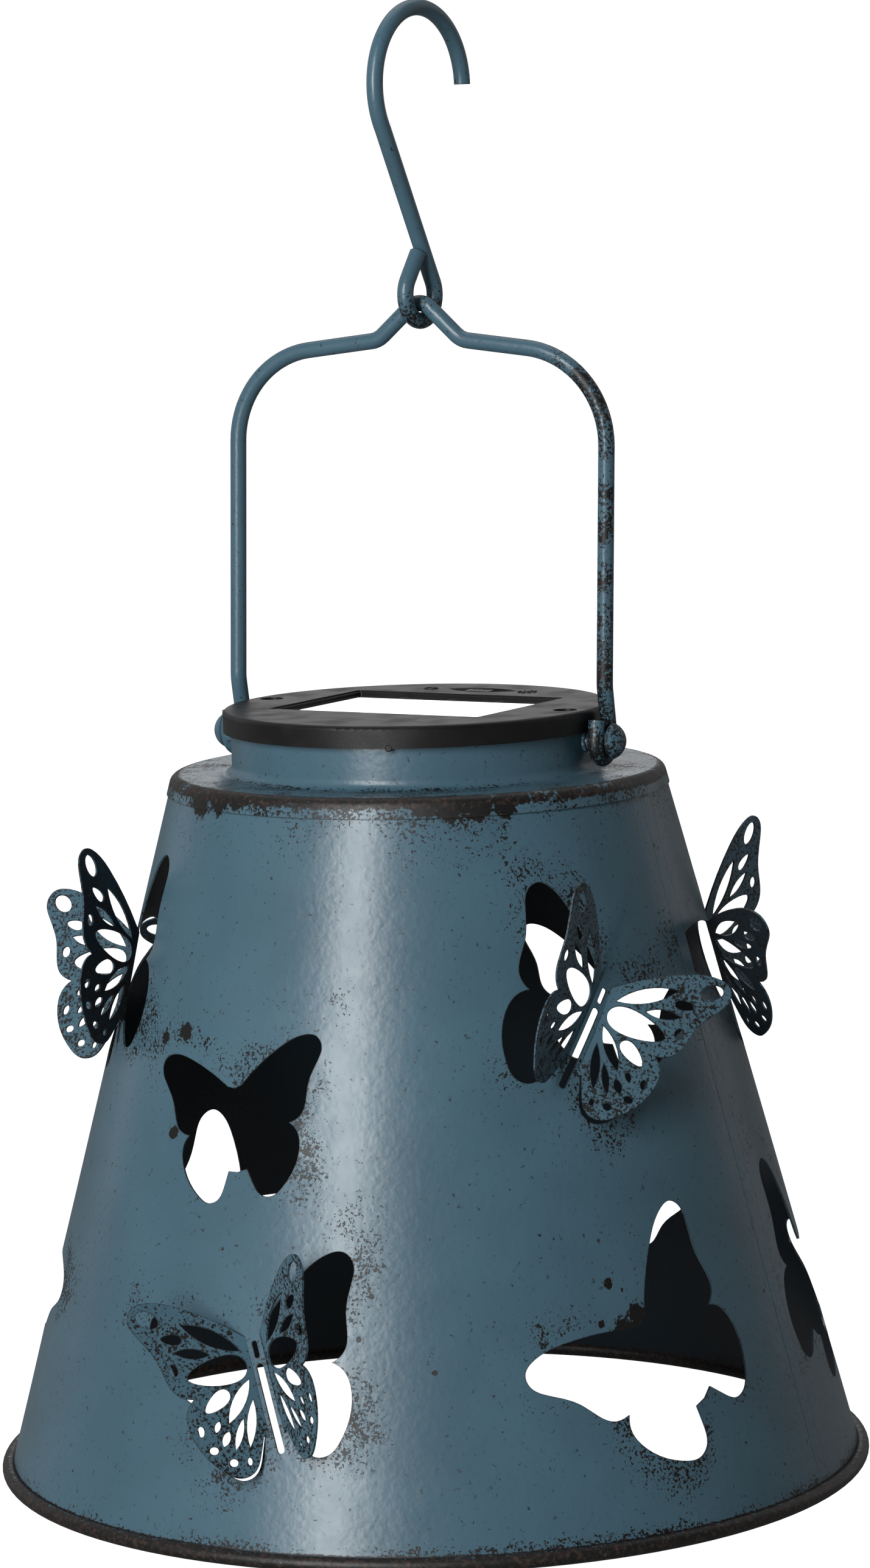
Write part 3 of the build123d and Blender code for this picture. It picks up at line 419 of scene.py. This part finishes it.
def shade_wear(tree, point):
    """Density of the flecks on the shade: round every butterfly, along the rim and under the cap."""
    place = separate(tree, point)
    nearest = None
    for azimuth, height, turn, size in raised_butterflies + plain_butterflies:
        middle, across, along, outward = wall_frame(azimuth, height * mm, turn)
        away = grouped(tree, "butterfly_distance", Vector=point, Middle=middle, Across=across, Along=along,
                       Outward=outward, Size=size)["Distance"]
        nearest = away if nearest is None else calc(tree, "MINIMUM", nearest, away)
    near = ramp(tree, nearest, 0.5 * mm, 13 * mm, 0.74, 0.0)
    top = ramp(tree, place["Z"], 152 * mm, 179 * mm, 0.0, 0.62)
    hem = ramp(tree, place["Z"], 4.2 * mm, 9 * mm, 0.75, 0.0)
    worn_hem = ramp(tree, place["Z"], 3.6 * mm, 4.2 * mm, 1.0, 0.0)
    patchy = ramp(tree, noise(tree, point, 34 * mm, 2.0), 0.38, 0.62, 0.25, 1.0)
    spread = calc(tree, "MULTIPLY", calc(tree, "MAXIMUM", calc(tree, "MAXIMUM", near, top), hem), patchy)
    wall_here = calc(tree, "MULTIPLY_ADD", place["Z"], wall_slope, wall_foot[0] - wall_slope * wall_foot[1])
    lifted = calc(tree, "SUBTRACT", axis_distance(tree, place), wall_here)
    wings = ramp(tree, lifted, 0.8 * mm, 3.0 * mm, 0.0, 0.66)
    wings = calc(tree, "MULTIPLY", wings, ramp(tree, place["Z"], 6 * mm, 9 * mm))
    return calc(tree, "MAXIMUM", calc(tree, "MAXIMUM", spread, wings), worn_hem)


def inner_faces_painted_dark(tree, point):
    """1 where a face of the shade looks at its axis, which is where the paint takes its painted shade."""
    normal = add(tree, "ShaderNodeNewGeometry").outputs["Normal"]
    place = separate(tree, point)
    flat = add(tree, "ShaderNodeCombineXYZ", {0: place["X"], 1: place["Y"]}).outputs[0]
    outward = vector_calc(tree, "NORMALIZE", flat)
    facing = vector_calc(tree, "DOT_PRODUCT", normal, outward, output="Value")
    return ramp(tree, facing, 0.05, -0.25)


def cap_wear(tree, point):
    """Density on the cap: dense on the shoulder's corner, thin on its top and none on the collar."""
    place = separate(tree, point)
    corner = band(tree, place["Z"], 180.2 * mm, 2.4 * mm, 1.2 * mm)
    ring = ramp(tree, axis_distance(tree, place), 51 * mm, 63 * mm, 0.0, 0.6)
    patchy = ramp(tree, noise(tree, point, 16 * mm, 2.0), 0.35, 0.62, 0.45, 1.0)
    return calc(tree, "MULTIPLY", calc(tree, "MAXIMUM", calc(tree, "MULTIPLY", corner, 0.80), ring), patchy)


def shoulder_rub(tree, point):
    """1 on the corner of the cap's shoulder, which is rubbed all round."""
    place = separate(tree, point)
    diagonal = calc(tree, "ADD", place["Z"], axis_distance(tree, place))
    corner = ramp(tree, diagonal, shoulder_diagonal - 1.2 * mm, shoulder_diagonal)
    patchy = ramp(tree, noise(tree, point, 12 * mm, 2.0), 0.30, 0.55, 0.45, 1.0)
    return calc(tree, "MULTIPLY", corner, patchy)


def hem_rub(tree, point):
    """1 on the rolled rim, which is rubbed dark all round."""
    return ramp(tree, separate(tree, point)["Z"], 3.4 * mm, 4.4 * mm, 0.85, 0.0)


def bail_wear(tree, point):
    """Density on the bail: the right-hand leg and its bend are worn almost through."""
    place = separate(tree, point)
    right = ramp(tree, place["X"], 30 * mm, 44 * mm)
    low = ramp(tree, place["Z"], 200 * mm, 186 * mm, 0.0, 0.35)
    patchy = ramp(tree, noise(tree, point, 18 * mm, 2.0), 0.32, 0.6, 0.35, 1.0)
    density = calc(tree, "MULTIPLY", calc(tree, "MULTIPLY_ADD", right, 0.95, low), patchy)
    middle = band(tree, place["X"], apex.x, 4 * mm, 4 * mm)
    middle = calc(tree, "MULTIPLY", middle, ramp(tree, place["Z"], 296 * mm, 300 * mm))
    return calc(tree, "MAXIMUM", density, calc(tree, "MULTIPLY", middle, 0.5))


def hook_wear(tree, point):
    """Density on the hook: worn round its eye and at its tip."""
    place = separate(tree, point)
    eye = ramp(tree, place["Z"], 312 * mm, 300 * mm, 0.06, 0.75)
    tip = calc(tree, "MULTIPLY", ramp(tree, place["Y"], 19 * mm, 22 * mm), 0.45)
    return calc(tree, "MAXIMUM", eye, tip)


def stud_wear(tree, point):
    """Density on the studs: the heads are worn dark."""
    place = separate(tree, point)
    return ramp(tree, place["X"], 50 * mm, 56 * mm, 0.10, 0.85)


def black_plastic(finish):
    """Moulded ABS with a fine grain, paler where it is rubbed."""
    material, tree, shader = new_material("lid_plastic")
    point = object_point(tree)
    scuff = ramp(tree, noise(tree, point, 8 * mm, 3.0), 0.40, 0.75)
    tree.links.new(blend(tree, scuff, tuple(finish.plastic), tuple(c * 1.5 for c in finish.plastic)),
                   shader.inputs["Base Color"])
    tree.links.new(calc(tree, "MULTIPLY_ADD", scuff, 0.12, 0.42), shader.inputs["Roughness"])
    shader.inputs["Specular IOR Level"].default_value = 0.35
    grain = grouped(tree, "grain", Vector=point, Size=0.55 * mm)["Height"]
    bump = add(tree, "ShaderNodeBump", {"Height": grain, "Strength": 0.5, "Distance": 0.06 * mm})
    tree.links.new(bump.outputs[0], shader.inputs["Normal"])
    return material


def solar_cells(finish):
    """Dark silicon under glossy resin, with thin silver fingers, gaps between cells and a dark border."""
    material, tree, shader = new_material("solar_cells")
    point = object_point(tree)
    middle = (panel_low + panel_high) / 2
    local = vector_calc(tree, "SUBTRACT", point, middle)
    x = vector_calc(tree, "DOT_PRODUCT", local, module_across, output="Value")
    y = vector_calc(tree, "DOT_PRODUCT", local, module_back, output="Value")
    fingers = calc(tree, "PINGPONG", y, 0.6 * mm)
    lines = ramp(tree, fingers, 0.03 * mm, 0.07 * mm, 1.0, 0.0)
    cells = calc(tree, "PINGPONG", calc(tree, "ADD", x, 29.0 * mm), 7.25 * mm)
    gaps = ramp(tree, cells, 0.22 * mm, 0.30 * mm, 1.0, 0.0)
    border = calc(tree, "MAXIMUM", ramp(tree, calc(tree, "ABSOLUTE", x), 28.6 * mm, 28.9 * mm),
                  ramp(tree, calc(tree, "ABSOLUTE", y), 20.0 * mm, 20.3 * mm))
    tone = blend(tree, calc(tree, "MULTIPLY", lines, 0.5), tuple(finish.cell), (0.35, 0.36, 0.38))
    tone = blend(tree, gaps, tone, (0.45, 0.45, 0.45))
    tone = blend(tree, border, tone, (0.012, 0.012, 0.013))
    tree.links.new(tone, shader.inputs["Base Color"])
    tree.links.new(calc(tree, "MULTIPLY_ADD", noise(tree, point, 12 * mm), 0.06, 0.02), shader.inputs["Roughness"])
    shader.inputs["Coat Weight"].default_value = 1.0
    shader.inputs["Coat Roughness"].default_value = 0.02
    shader.inputs["Coat IOR"].default_value = 1.6
    return material


def plain_finish(name, tone, roughness, metallic=0.0, grain=0.5 * mm, depth=0.02 * mm):
    """A small part's finish: one tone with faint clouding, gloss that varies and a fine grain."""
    material, tree, shader = new_material(name)
    point = object_point(tree)
    cloud = noise(tree, point, 4 * mm, 3.0)
    tree.links.new(blend(tree, ramp(tree, cloud, 0.3, 0.7), tuple(c * 0.85 for c in tone), tuple(tone)),
                   shader.inputs["Base Color"])
    tree.links.new(calc(tree, "MULTIPLY_ADD", cloud, 0.12, roughness - 0.06), shader.inputs["Roughness"])
    shader.inputs["Metallic"].default_value = metallic
    height = grouped(tree, "grain", Vector=point, Size=grain)["Height"]
    bump = add(tree, "ShaderNodeBump", {"Height": height, "Strength": 0.4, "Distance": depth})
    tree.links.new(bump.outputs[0], shader.inputs["Normal"])
    return material


def clear_plastic():
    """Clear moulded lens."""
    material, tree, shader = new_material("clear_lens")
    point = object_point(tree)
    shader.inputs["Base Color"].default_value = (0.95, 0.96, 0.97, 1)
    shader.inputs["Transmission Weight"].default_value = 1.0
    shader.inputs["IOR"].default_value = 1.49
    tree.links.new(calc(tree, "MULTIPLY_ADD", noise(tree, point, 3 * mm), 0.08, 0.03), shader.inputs["Roughness"])
    return material


# ---------------------------------------------------------------- shapes
def link_mesh(name, vertices, faces):
    """A mesh object at the origin from arrays of vertices and faces."""
    mesh = bpy.data.meshes.new(name)
    mesh.from_pydata(vertices.tolist(), [], faces)
    mesh.update()
    piece = bpy.data.objects.new(name, mesh)
    bpy.context.scene.collection.objects.link(piece)
    return piece


def grid_faces(rows, columns, close_rows=False, close_columns=False):
    """Quads of a grid of vertices stored row by row, with either way joined up round."""
    r = np.arange(rows if close_rows else rows - 1)[:, None]
    c = np.arange(columns if close_columns else columns - 1)[None, :]
    a, b = r * columns + c, r * columns + (c + 1) % columns
    d, e = ((r + 1) % rows) * columns + c, ((r + 1) % rows) * columns + (c + 1) % columns
    return np.stack([a, b, e, d], axis=-1).reshape(-1, 4).tolist()


def smooth(piece, angle):
    """Smooth shading with the corners sharper than an angle kept."""
    piece.data.shade_smooth()
    piece.data.set_sharp_from_angle(angle=radians(angle))


def body_of(node):
    """Name of the body that a node belongs to."""
    bodies = frame["record"]["behaviour"]["bodies"]
    return next(body for body, nodes in bodies.items() if node in nodes)


def dress(node, material):
    """A node keeps its shape and takes a material."""
    surface = frame["nodes"][node].data.materials
    surface.clear()
    surface.append(material)


def keep_with(piece, node, material):
    """A new piece takes a material, and rides on the body of the node that it belongs to."""
    piece.data.materials.append(material)
    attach(piece, body_of(node))


def lap_seam(sizes):
    """Wedge on the wall where the sheet laps itself: thin on one side, a step on the other.

    Across the seam the height grows evenly from nothing to the step, and the section is carried up the wall.
    """
    heights = np.linspace(4.6, 177.2, 120) * mm
    radius = wall_foot[0] + wall_slope * (heights - wall_foot[1])
    away = np.array([-1.0, -0.66, -0.33, 0.0, 0.0, -0.33, -0.66, -1.0]) * sizes.seam_width
    rise = np.array([0.02, 0.34, 0.68, 1.0, -0.6, -0.6, -0.6, -0.6]) * sizes.seam_height
    turn = radians(seam_azimuth) + away[None, :] / radius[:, None]
    out = radius[:, None] + rise[None, :]
    points = np.stack([out * np.cos(turn), out * np.sin(turn), np.repeat(heights[:, None], 8, axis=1)], axis=-1)
    faces = grid_faces(len(heights), 8, close_columns=True)
    last = (len(heights) - 1) * 8
    faces += [list(range(7, -1, -1)), list(range(last, last + 8))]
    piece = link_mesh("shade_lap_seam", points.reshape(-1, 3), faces)
    smooth(piece, 30)
    return piece


def weld_bead(side):
    """Lumpy weld round a stud's root: a ring whose section grows and shrinks as it goes round."""
    around = np.linspace(0, 2 * np.pi, 72, endpoint=False)
    section = np.linspace(0, 2 * np.pi, 16, endpoint=False)
    lump = 1 + 0.16 * np.sin(5 * around + 1.3 * side) + 0.12 * np.sin(9 * around + 2.0)
    ring = (stud_high.z - stud_low.z) / 2 * 0.50
    thick = 0.85 * mm * lump
    reach = ring + thick[:, None] * 0.75 * (1 + np.cos(section))[None, :] * 0.5
    along = collar_outside + thick[:, None] * (0.35 + 0.75 * np.sin(section))[None, :]
    along = np.where(reach > ring + 0.2 * mm, along - 0.25 * mm, along)
    points = np.stack([side * along, reach * np.cos(around)[:, None],
                       pivot_height + reach * np.sin(around)[:, None]], axis=-1)
    faces = grid_faces(len(around), len(section), close_rows=True, close_columns=True)
    piece = link_mesh("stud_weld_" + ("right" if side > 0 else "left"), points.reshape(-1, 3),
                      faces if side < 0 else [face[::-1] for face in faces])
    smooth(piece, 60)
    return piece


def on_lid(x, y, z):
    """Points given in the module's own directions, placed on the lid."""
    flat = np.asarray(x)[..., None] * np.array(module_across) + np.asarray(y)[..., None] * np.array(module_back)
    flat[..., 2] = z
    return flat


def moulded_ring(name, x, y, radius, width, sizes):
    """Flat raised ring on the lid: a low box section carried round a circle."""
    around = np.linspace(0, 2 * np.pi, 48, endpoint=False)
    reach = radius + np.array([-0.5, -0.35, 0.35, 0.5]) * width
    rise = lid_high.z + np.array([-0.1 * mm, sizes.mark_height, sizes.mark_height, -0.1 * mm])
    points = on_lid(x + reach[None, :] * np.cos(around)[:, None], y + reach[None, :] * np.sin(around)[:, None], 0.0)
    points[..., 2] = rise[None, :]
    faces = grid_faces(len(around), 4, close_rows=True, close_columns=True)
    piece = link_mesh(name, points.reshape(-1, 3), faces)
    smooth(piece, 30)
    return piece


def moulded_bars(name, places, length, width, sizes):
    """Raised bars on the lid, each a low bar with sloping sides; places gives middles and turns."""
    corner = np.array([(-1, -1), (1, -1), (1, 1), (-1, 1)])
    points, faces = [], []
    for x, y, turn in places:
        c, s = cos(radians(turn)), sin(radians(turn))
        for grow, level in ((1.25, lid_high.z - 0.1 * mm), (1.0, lid_high.z + sizes.mark_height)):
            u, v = corner[:, 0] * length / 2 + (grow - 1) * corner[:, 0] * width, corner[:, 1] * width / 2 * grow
            points.append(on_lid(x + u * c - v * s, y + u * s + v * c, level))
        base = len(points) // 2 * 8 - 8
        faces += [[base + i for i in face] for face in ((3, 2, 1, 0), (4, 5, 6, 7), (0, 1, 5, 4), (1, 2, 6, 5),
                                                        (2, 3, 7, 6), (3, 0, 4, 7))]
    piece = link_mesh(name, np.concatenate(points), faces)
    return piece


def side_mark():
    """Small round pin mark on the lid's side: a low disc whose rim follows the lid."""
    turn = radians(-72.0)
    rings, spokes = np.array([0.0, 0.75, 1.0]), np.linspace(0, 2 * np.pi, 32, endpoint=False)
    across = rings[:, None] * 0.95 * mm * np.cos(spokes)[None, :]
    up = rings[:, None] * 0.95 * mm * np.sin(spokes)[None, :]
    radius = (lid_high.x - lid_low.x) / 2 + np.array([0.12, 0.12, -0.1])[:, None] * mm
    angle = turn + across / radius
    points = np.stack([radius * np.cos(angle), radius * np.sin(angle),
                       (lid_low.z + lid_high.z) / 2 + up + 0 * radius], axis=-1)
    faces = grid_faces(3, 32, close_columns=True)[32:] + [list(range(32, 64))]
    back = [list(range(95, 63, -1))]
    piece = link_mesh("lid_side_mark", points.reshape(-1, 3), [face[::-1] for face in faces[:-1]] + faces[-1:] + back)
    smooth(piece, 30)
    return piece


# ---------------------------------------------------------------- the stage
def studio_world(stage, view):
    """White surroundings, brighter behind the lantern than on the side it is seen from."""
    world = bpy.data.worlds.new("studio")
    bpy.context.scene.world = world
    world.use_nodes = True
    tree = world.node_tree
    background = tree.nodes["Background"]
    direction = add(tree, "ShaderNodeTexCoord").outputs["Generated"]
    behind = vector_calc(tree, "DOT_PRODUCT", direction, view, output="Value")
    level = ramp(tree, behind, -0.35, 0.85, front_level, back_level)
    seen = add(tree, "ShaderNodeLightPath").outputs["Is Camera Ray"]
    level = calc(tree, "MULTIPLY_ADD", seen, calc(tree, "SUBTRACT", stage.white, level), level)
    tree.links.new(level, background.inputs["Strength"])
    background.inputs["Color"].default_value = (1, 1, 1, 1)


def soft_light(name, place, aim, width, height, radiance):
    """Rectangular soft light that isn't itself seen."""
    light = bpy.data.lights.new(name, "AREA")
    light.shape = "RECTANGLE"
    light.size, light.size_y = width, height
    light.energy = radiance * np.pi * width * height
    lamp = bpy.data.objects.new(name, light)
    lamp.location = place
    lamp.rotation_euler = (Vector(aim) - Vector(place)).to_track_quat("-Z", "Y").to_euler()
    lamp.visible_camera = False
    bpy.context.scene.collection.objects.link(lamp)
    return lamp


class LANTERN_OT_stage(bpy.types.Operator):
    """Floor, lights and camera"""

    bl_idname = "lantern.stage"
    bl_label = "Stage"

    def execute(self, context):
        stage = context.scene.lantern_stage
        turn = radians(camera_turn)
        level_view = Vector((-sin(turn), cos(turn), 0))
        across = Vector((cos(turn), sin(turn), 0))
        forward = level_view * cos(camera_pitch) - Vector((0, 0, sin(camera_pitch)))
        upward = across.cross(forward)
        right = across * cos(camera_roll) - upward * sin(camera_roll)
        top = across * sin(camera_roll) + upward * cos(camera_roll)
        data = bpy.data.cameras.new("camera")
        data.lens, data.sensor_width = camera_lens, 36.0
        data.clip_start, data.clip_end = 0.05, 200.0
        camera = bpy.data.objects.new("camera", data)
        camera.matrix_world = Matrix((
            (right.x, top.x, -forward.x, camera_place.x),
            (right.y, top.y, -forward.y, camera_place.y),
            (right.z, top.z, -forward.z, camera_place.z),
            (0, 0, 0, 1),
        ))
        context.scene.collection.objects.link(camera)
        context.scene.camera = camera
        context.scene.view_settings.view_transform = "Standard"

        studio_world(stage, level_view)
        half = stage.floor_size / 2
        side = np.linspace(-half, half, 9)
        x, y = np.meshgrid(side, side, indexing="ij")
        floor = link_mesh("floor", np.stack([x, y, 0 * x - 0.05 * mm], axis=-1).reshape(-1, 3), grid_faces(9, 9))
        floor.data.flip_normals()
        material, tree, shader = new_material("floor")
        shader.inputs["Base Color"].default_value = (0.18, 0.18, 0.18, 1)
        shader.inputs["Roughness"].default_value = 0.9
        shader.inputs["Specular IOR Level"].default_value = 0.1
        shader.inputs["Emission Color"].default_value = (1, 1, 1, 1)
        seen = add(tree, "ShaderNodeLightPath").outputs["Is Camera Ray"]
        tree.links.new(calc(tree, "MULTIPLY_ADD", seen, stage.white, 0.07), shader.inputs["Emission Strength"])
        floor.data.materials.append(material)

        aim = Vector((0, 0, 0.13))
        for name, azimuth, height, distance, width, tall, radiance in soft_lights:
            a = radians(azimuth)
            soft_light(name, Vector((cos(a), sin(a), 0)) * distance + Vector((0, 0, height)), aim, width, tall,
                       radiance)
        soft_light("top", level_view * 0.5 + Vector((0, 0, 1.5)), aim, 1.3, 1.3, 0.8)
        return {"FINISHED"}


# ---------------------------------------------------------------- the lantern
class LANTERN_OT_effects(bpy.types.Operator):
    """Node groups that the materials share"""

    bl_idname = "lantern.effects"
    bl_label = "Shared effects"

    def execute(self, context):
        for build in (build_flecks, build_chip, build_butterfly_distance, build_edge_line, build_paint_skin,
                      build_grain):
            build()
        return {"FINISHED"}


class LANTERN_OT_shade(bpy.types.Operator):
    """Conical shade with its rolled rim and lap seam"""

    bl_idname = "lantern.shade"
    bl_label = "Shade"

    def execute(self, context):
        finish = context.scene.lantern_finish
        # The shade's paint is darkened on its inside faces as painted shade.
        paint = paint_shader("shade_paint", finish, shade_wear, chip_masks(wall_chips), inside=inner_faces_painted_dark,
                             rubbed=hem_rub)
        dress("shade", paint)
        seam_paint = paint_shader("seam_paint", finish, lambda tree, point: calc(
            tree, "MULTIPLY", noise(tree, point, 20 * mm), 0.2), chip_masks([]))
        keep_with(lap_seam(context.scene.lantern_sizes), "shade", seam_paint)
        return {"FINISHED"}


class LANTERN_OT_cap(bpy.types.Operator):
    """Pressed cap with its collar, the pivot studs and their welds"""

    bl_idname = "lantern.cap"
    bl_label = "Cap and studs"

    def execute(self, context):
        finish = context.scene.lantern_finish
        dress("top_cap", paint_shader("cap_paint", finish, cap_wear, chip_masks(wall_chips[:7]),
                                       rubbed=shoulder_rub))
        studs = paint_shader("stud_paint", finish, stud_wear, chip_masks([]))
        for side, node in ((-1, "stud_left"), (1, "stud_right")):
            dress(node, studs)
            keep_with(weld_bead(side), node, studs)
        return {"FINISHED"}


class LANTERN_OT_bail(bpy.types.Operator):
    """Wire bail and the hook that hangs in it"""

    bl_idname = "lantern.bail"
    bl_label = "Bail and hook"

    def execute(self, context):
        finish = context.scene.lantern_finish
        dress("bail", paint_shader("bail_paint", finish, bail_wear, chip_masks([])))
        dress("hook", paint_shader("hook_paint", finish, hook_wear, chip_masks([])))
        return {"FINISHED"}


class LANTERN_OT_lid(bpy.types.Operator):
    """Moulded lid with its marks, the solar panel and the slide switch"""

    bl_idname = "lantern.lid"
    bl_label = "Lid, panel and switch"

    def execute(self, context):
        finish, sizes = context.scene.lantern_finish, context.scene.lantern_sizes
        plastic = black_plastic(finish)
        for node in ("solar_lid", "lamp_housing", "battery_door", "switch_body"):
            dress(node, plastic)
        dress("solar_panel", solar_cells(finish))
        dress("switch_slider", plain_finish("knob_plastic", (0.022, 0.022, 0.024), 0.38))
        keep_with(moulded_ring("mark_off", -15.2 * mm, 33.9 * mm, 1.7 * mm, 0.5 * mm, sizes), "solar_lid", plastic)
        rays = [((14.0 + 2.1 * cos(radians(a))) * mm, (33.9 + 2.1 * sin(radians(a))) * mm, a)
                for a in range(0, 360, 45)]
        keep_with(moulded_ring("mark_on", 14.0 * mm, 33.9 * mm, 0.95 * mm, 0.45 * mm, sizes), "solar_lid", plastic)
        keep_with(moulded_bars("mark_on_rays", rays, 0.9 * mm, 0.35 * mm, sizes), "solar_lid", plastic)
        keep_with(side_mark(), "solar_lid", plastic)
        return {"FINISHED"}


class LANTERN_OT_fittings(bpy.types.Operator):
    """Screws, brackets, seals and everything inside the lamp housing"""

    bl_idname = "lantern.fittings"
    bl_label = "Fittings and lamp"

    def execute(self, context):
        finishes = {
            "plated_screw": (("lid_screws", "housing_screws", "board_screws", "door_screw"),
                             ((0.62, 0.61, 0.58), 0.22, 1.0)),
            "bare_steel": (("rim_wire", "bracket_left", "bracket_right"), ((0.36, 0.35, 0.34), 0.42, 1.0)),
            "nickel": (("battery_spring", "battery_contact"), ((0.60, 0.57, 0.50), 0.28, 1.0)),
            "seal_rubber": (("lid_gasket", "housing_seal", "panel_tape"), ((0.015, 0.015, 0.016), 0.75, 0.0)),
            "cell_sleeve": (("battery_cell",), ((0.05, 0.16, 0.07), 0.30, 0.0)),
            "board_mask": (("circuit_board",), ((0.015, 0.075, 0.03), 0.35, 0.0)),
            "component_body": (("board_components",), ((0.02, 0.02, 0.022), 0.45, 0.0)),
            "led_epoxy": (("led",), ((0.80, 0.80, 0.70), 0.12, 0.0)),
            "red_insulation": (("lead_red", "battery_lead_plus", "switch_lead_1"), ((0.35, 0.012, 0.010), 0.40, 0.0)),
            "black_insulation": (("lead_black", "battery_lead_minus", "switch_lead_2"),
                                 ((0.012, 0.012, 0.012), 0.40, 0.0)),
        }
        for name, (nodes, (tone, roughness, metallic)) in finishes.items():
            material = plain_finish(name, tone, roughness, metallic)
            for node in nodes:
                dress(node, material)
        dress("led_lens", clear_plastic())
        return {"FINISHED"}


class LANTERN_PT_panel(bpy.types.Panel):
    """Makes the lantern's surfaces and sets their colours"""

    bl_label = "Solar lantern"
    bl_space_type = "VIEW_3D"
    bl_region_type = "UI"
    bl_category = "Lantern"

    def draw(self, context):
        for group in (context.scene.lantern_finish, context.scene.lantern_sizes, context.scene.lantern_stage):
            for name in group.__annotations__:
                self.layout.prop(group, name)
        for operator in operators:
            self.layout.operator(operator.bl_idname)


operators = (LANTERN_OT_effects, LANTERN_OT_stage, LANTERN_OT_shade, LANTERN_OT_cap, LANTERN_OT_bail,
             LANTERN_OT_lid, LANTERN_OT_fittings)
groups = {"lantern_finish": LanternFinish, "lantern_sizes": LanternSizes, "lantern_stage": LanternStage}


def register():
    """Registers the settings, the operators and the panel."""
    for name, group in groups.items():
        bpy.utils.register_class(group)
        setattr(bpy.types.Scene, name, PointerProperty(type=group))
    for operator in operators + (LANTERN_PT_panel,):
        bpy.utils.register_class(operator)


def unregister():
    """Takes the settings, the operators and the panel away again."""
    for operator in (LANTERN_PT_panel,) + operators[::-1]:
        bpy.utils.unregister_class(operator)
    for name, group in groups.items():
        delattr(bpy.types.Scene, name)
        bpy.utils.unregister_class(group)


def main():
    """Makes everything in order."""
    register()
    for operator in operators:
        family, name = operator.bl_idname.split(".")
        getattr(getattr(bpy.ops, family), name)()


if __name__ == "__main__":
    main()
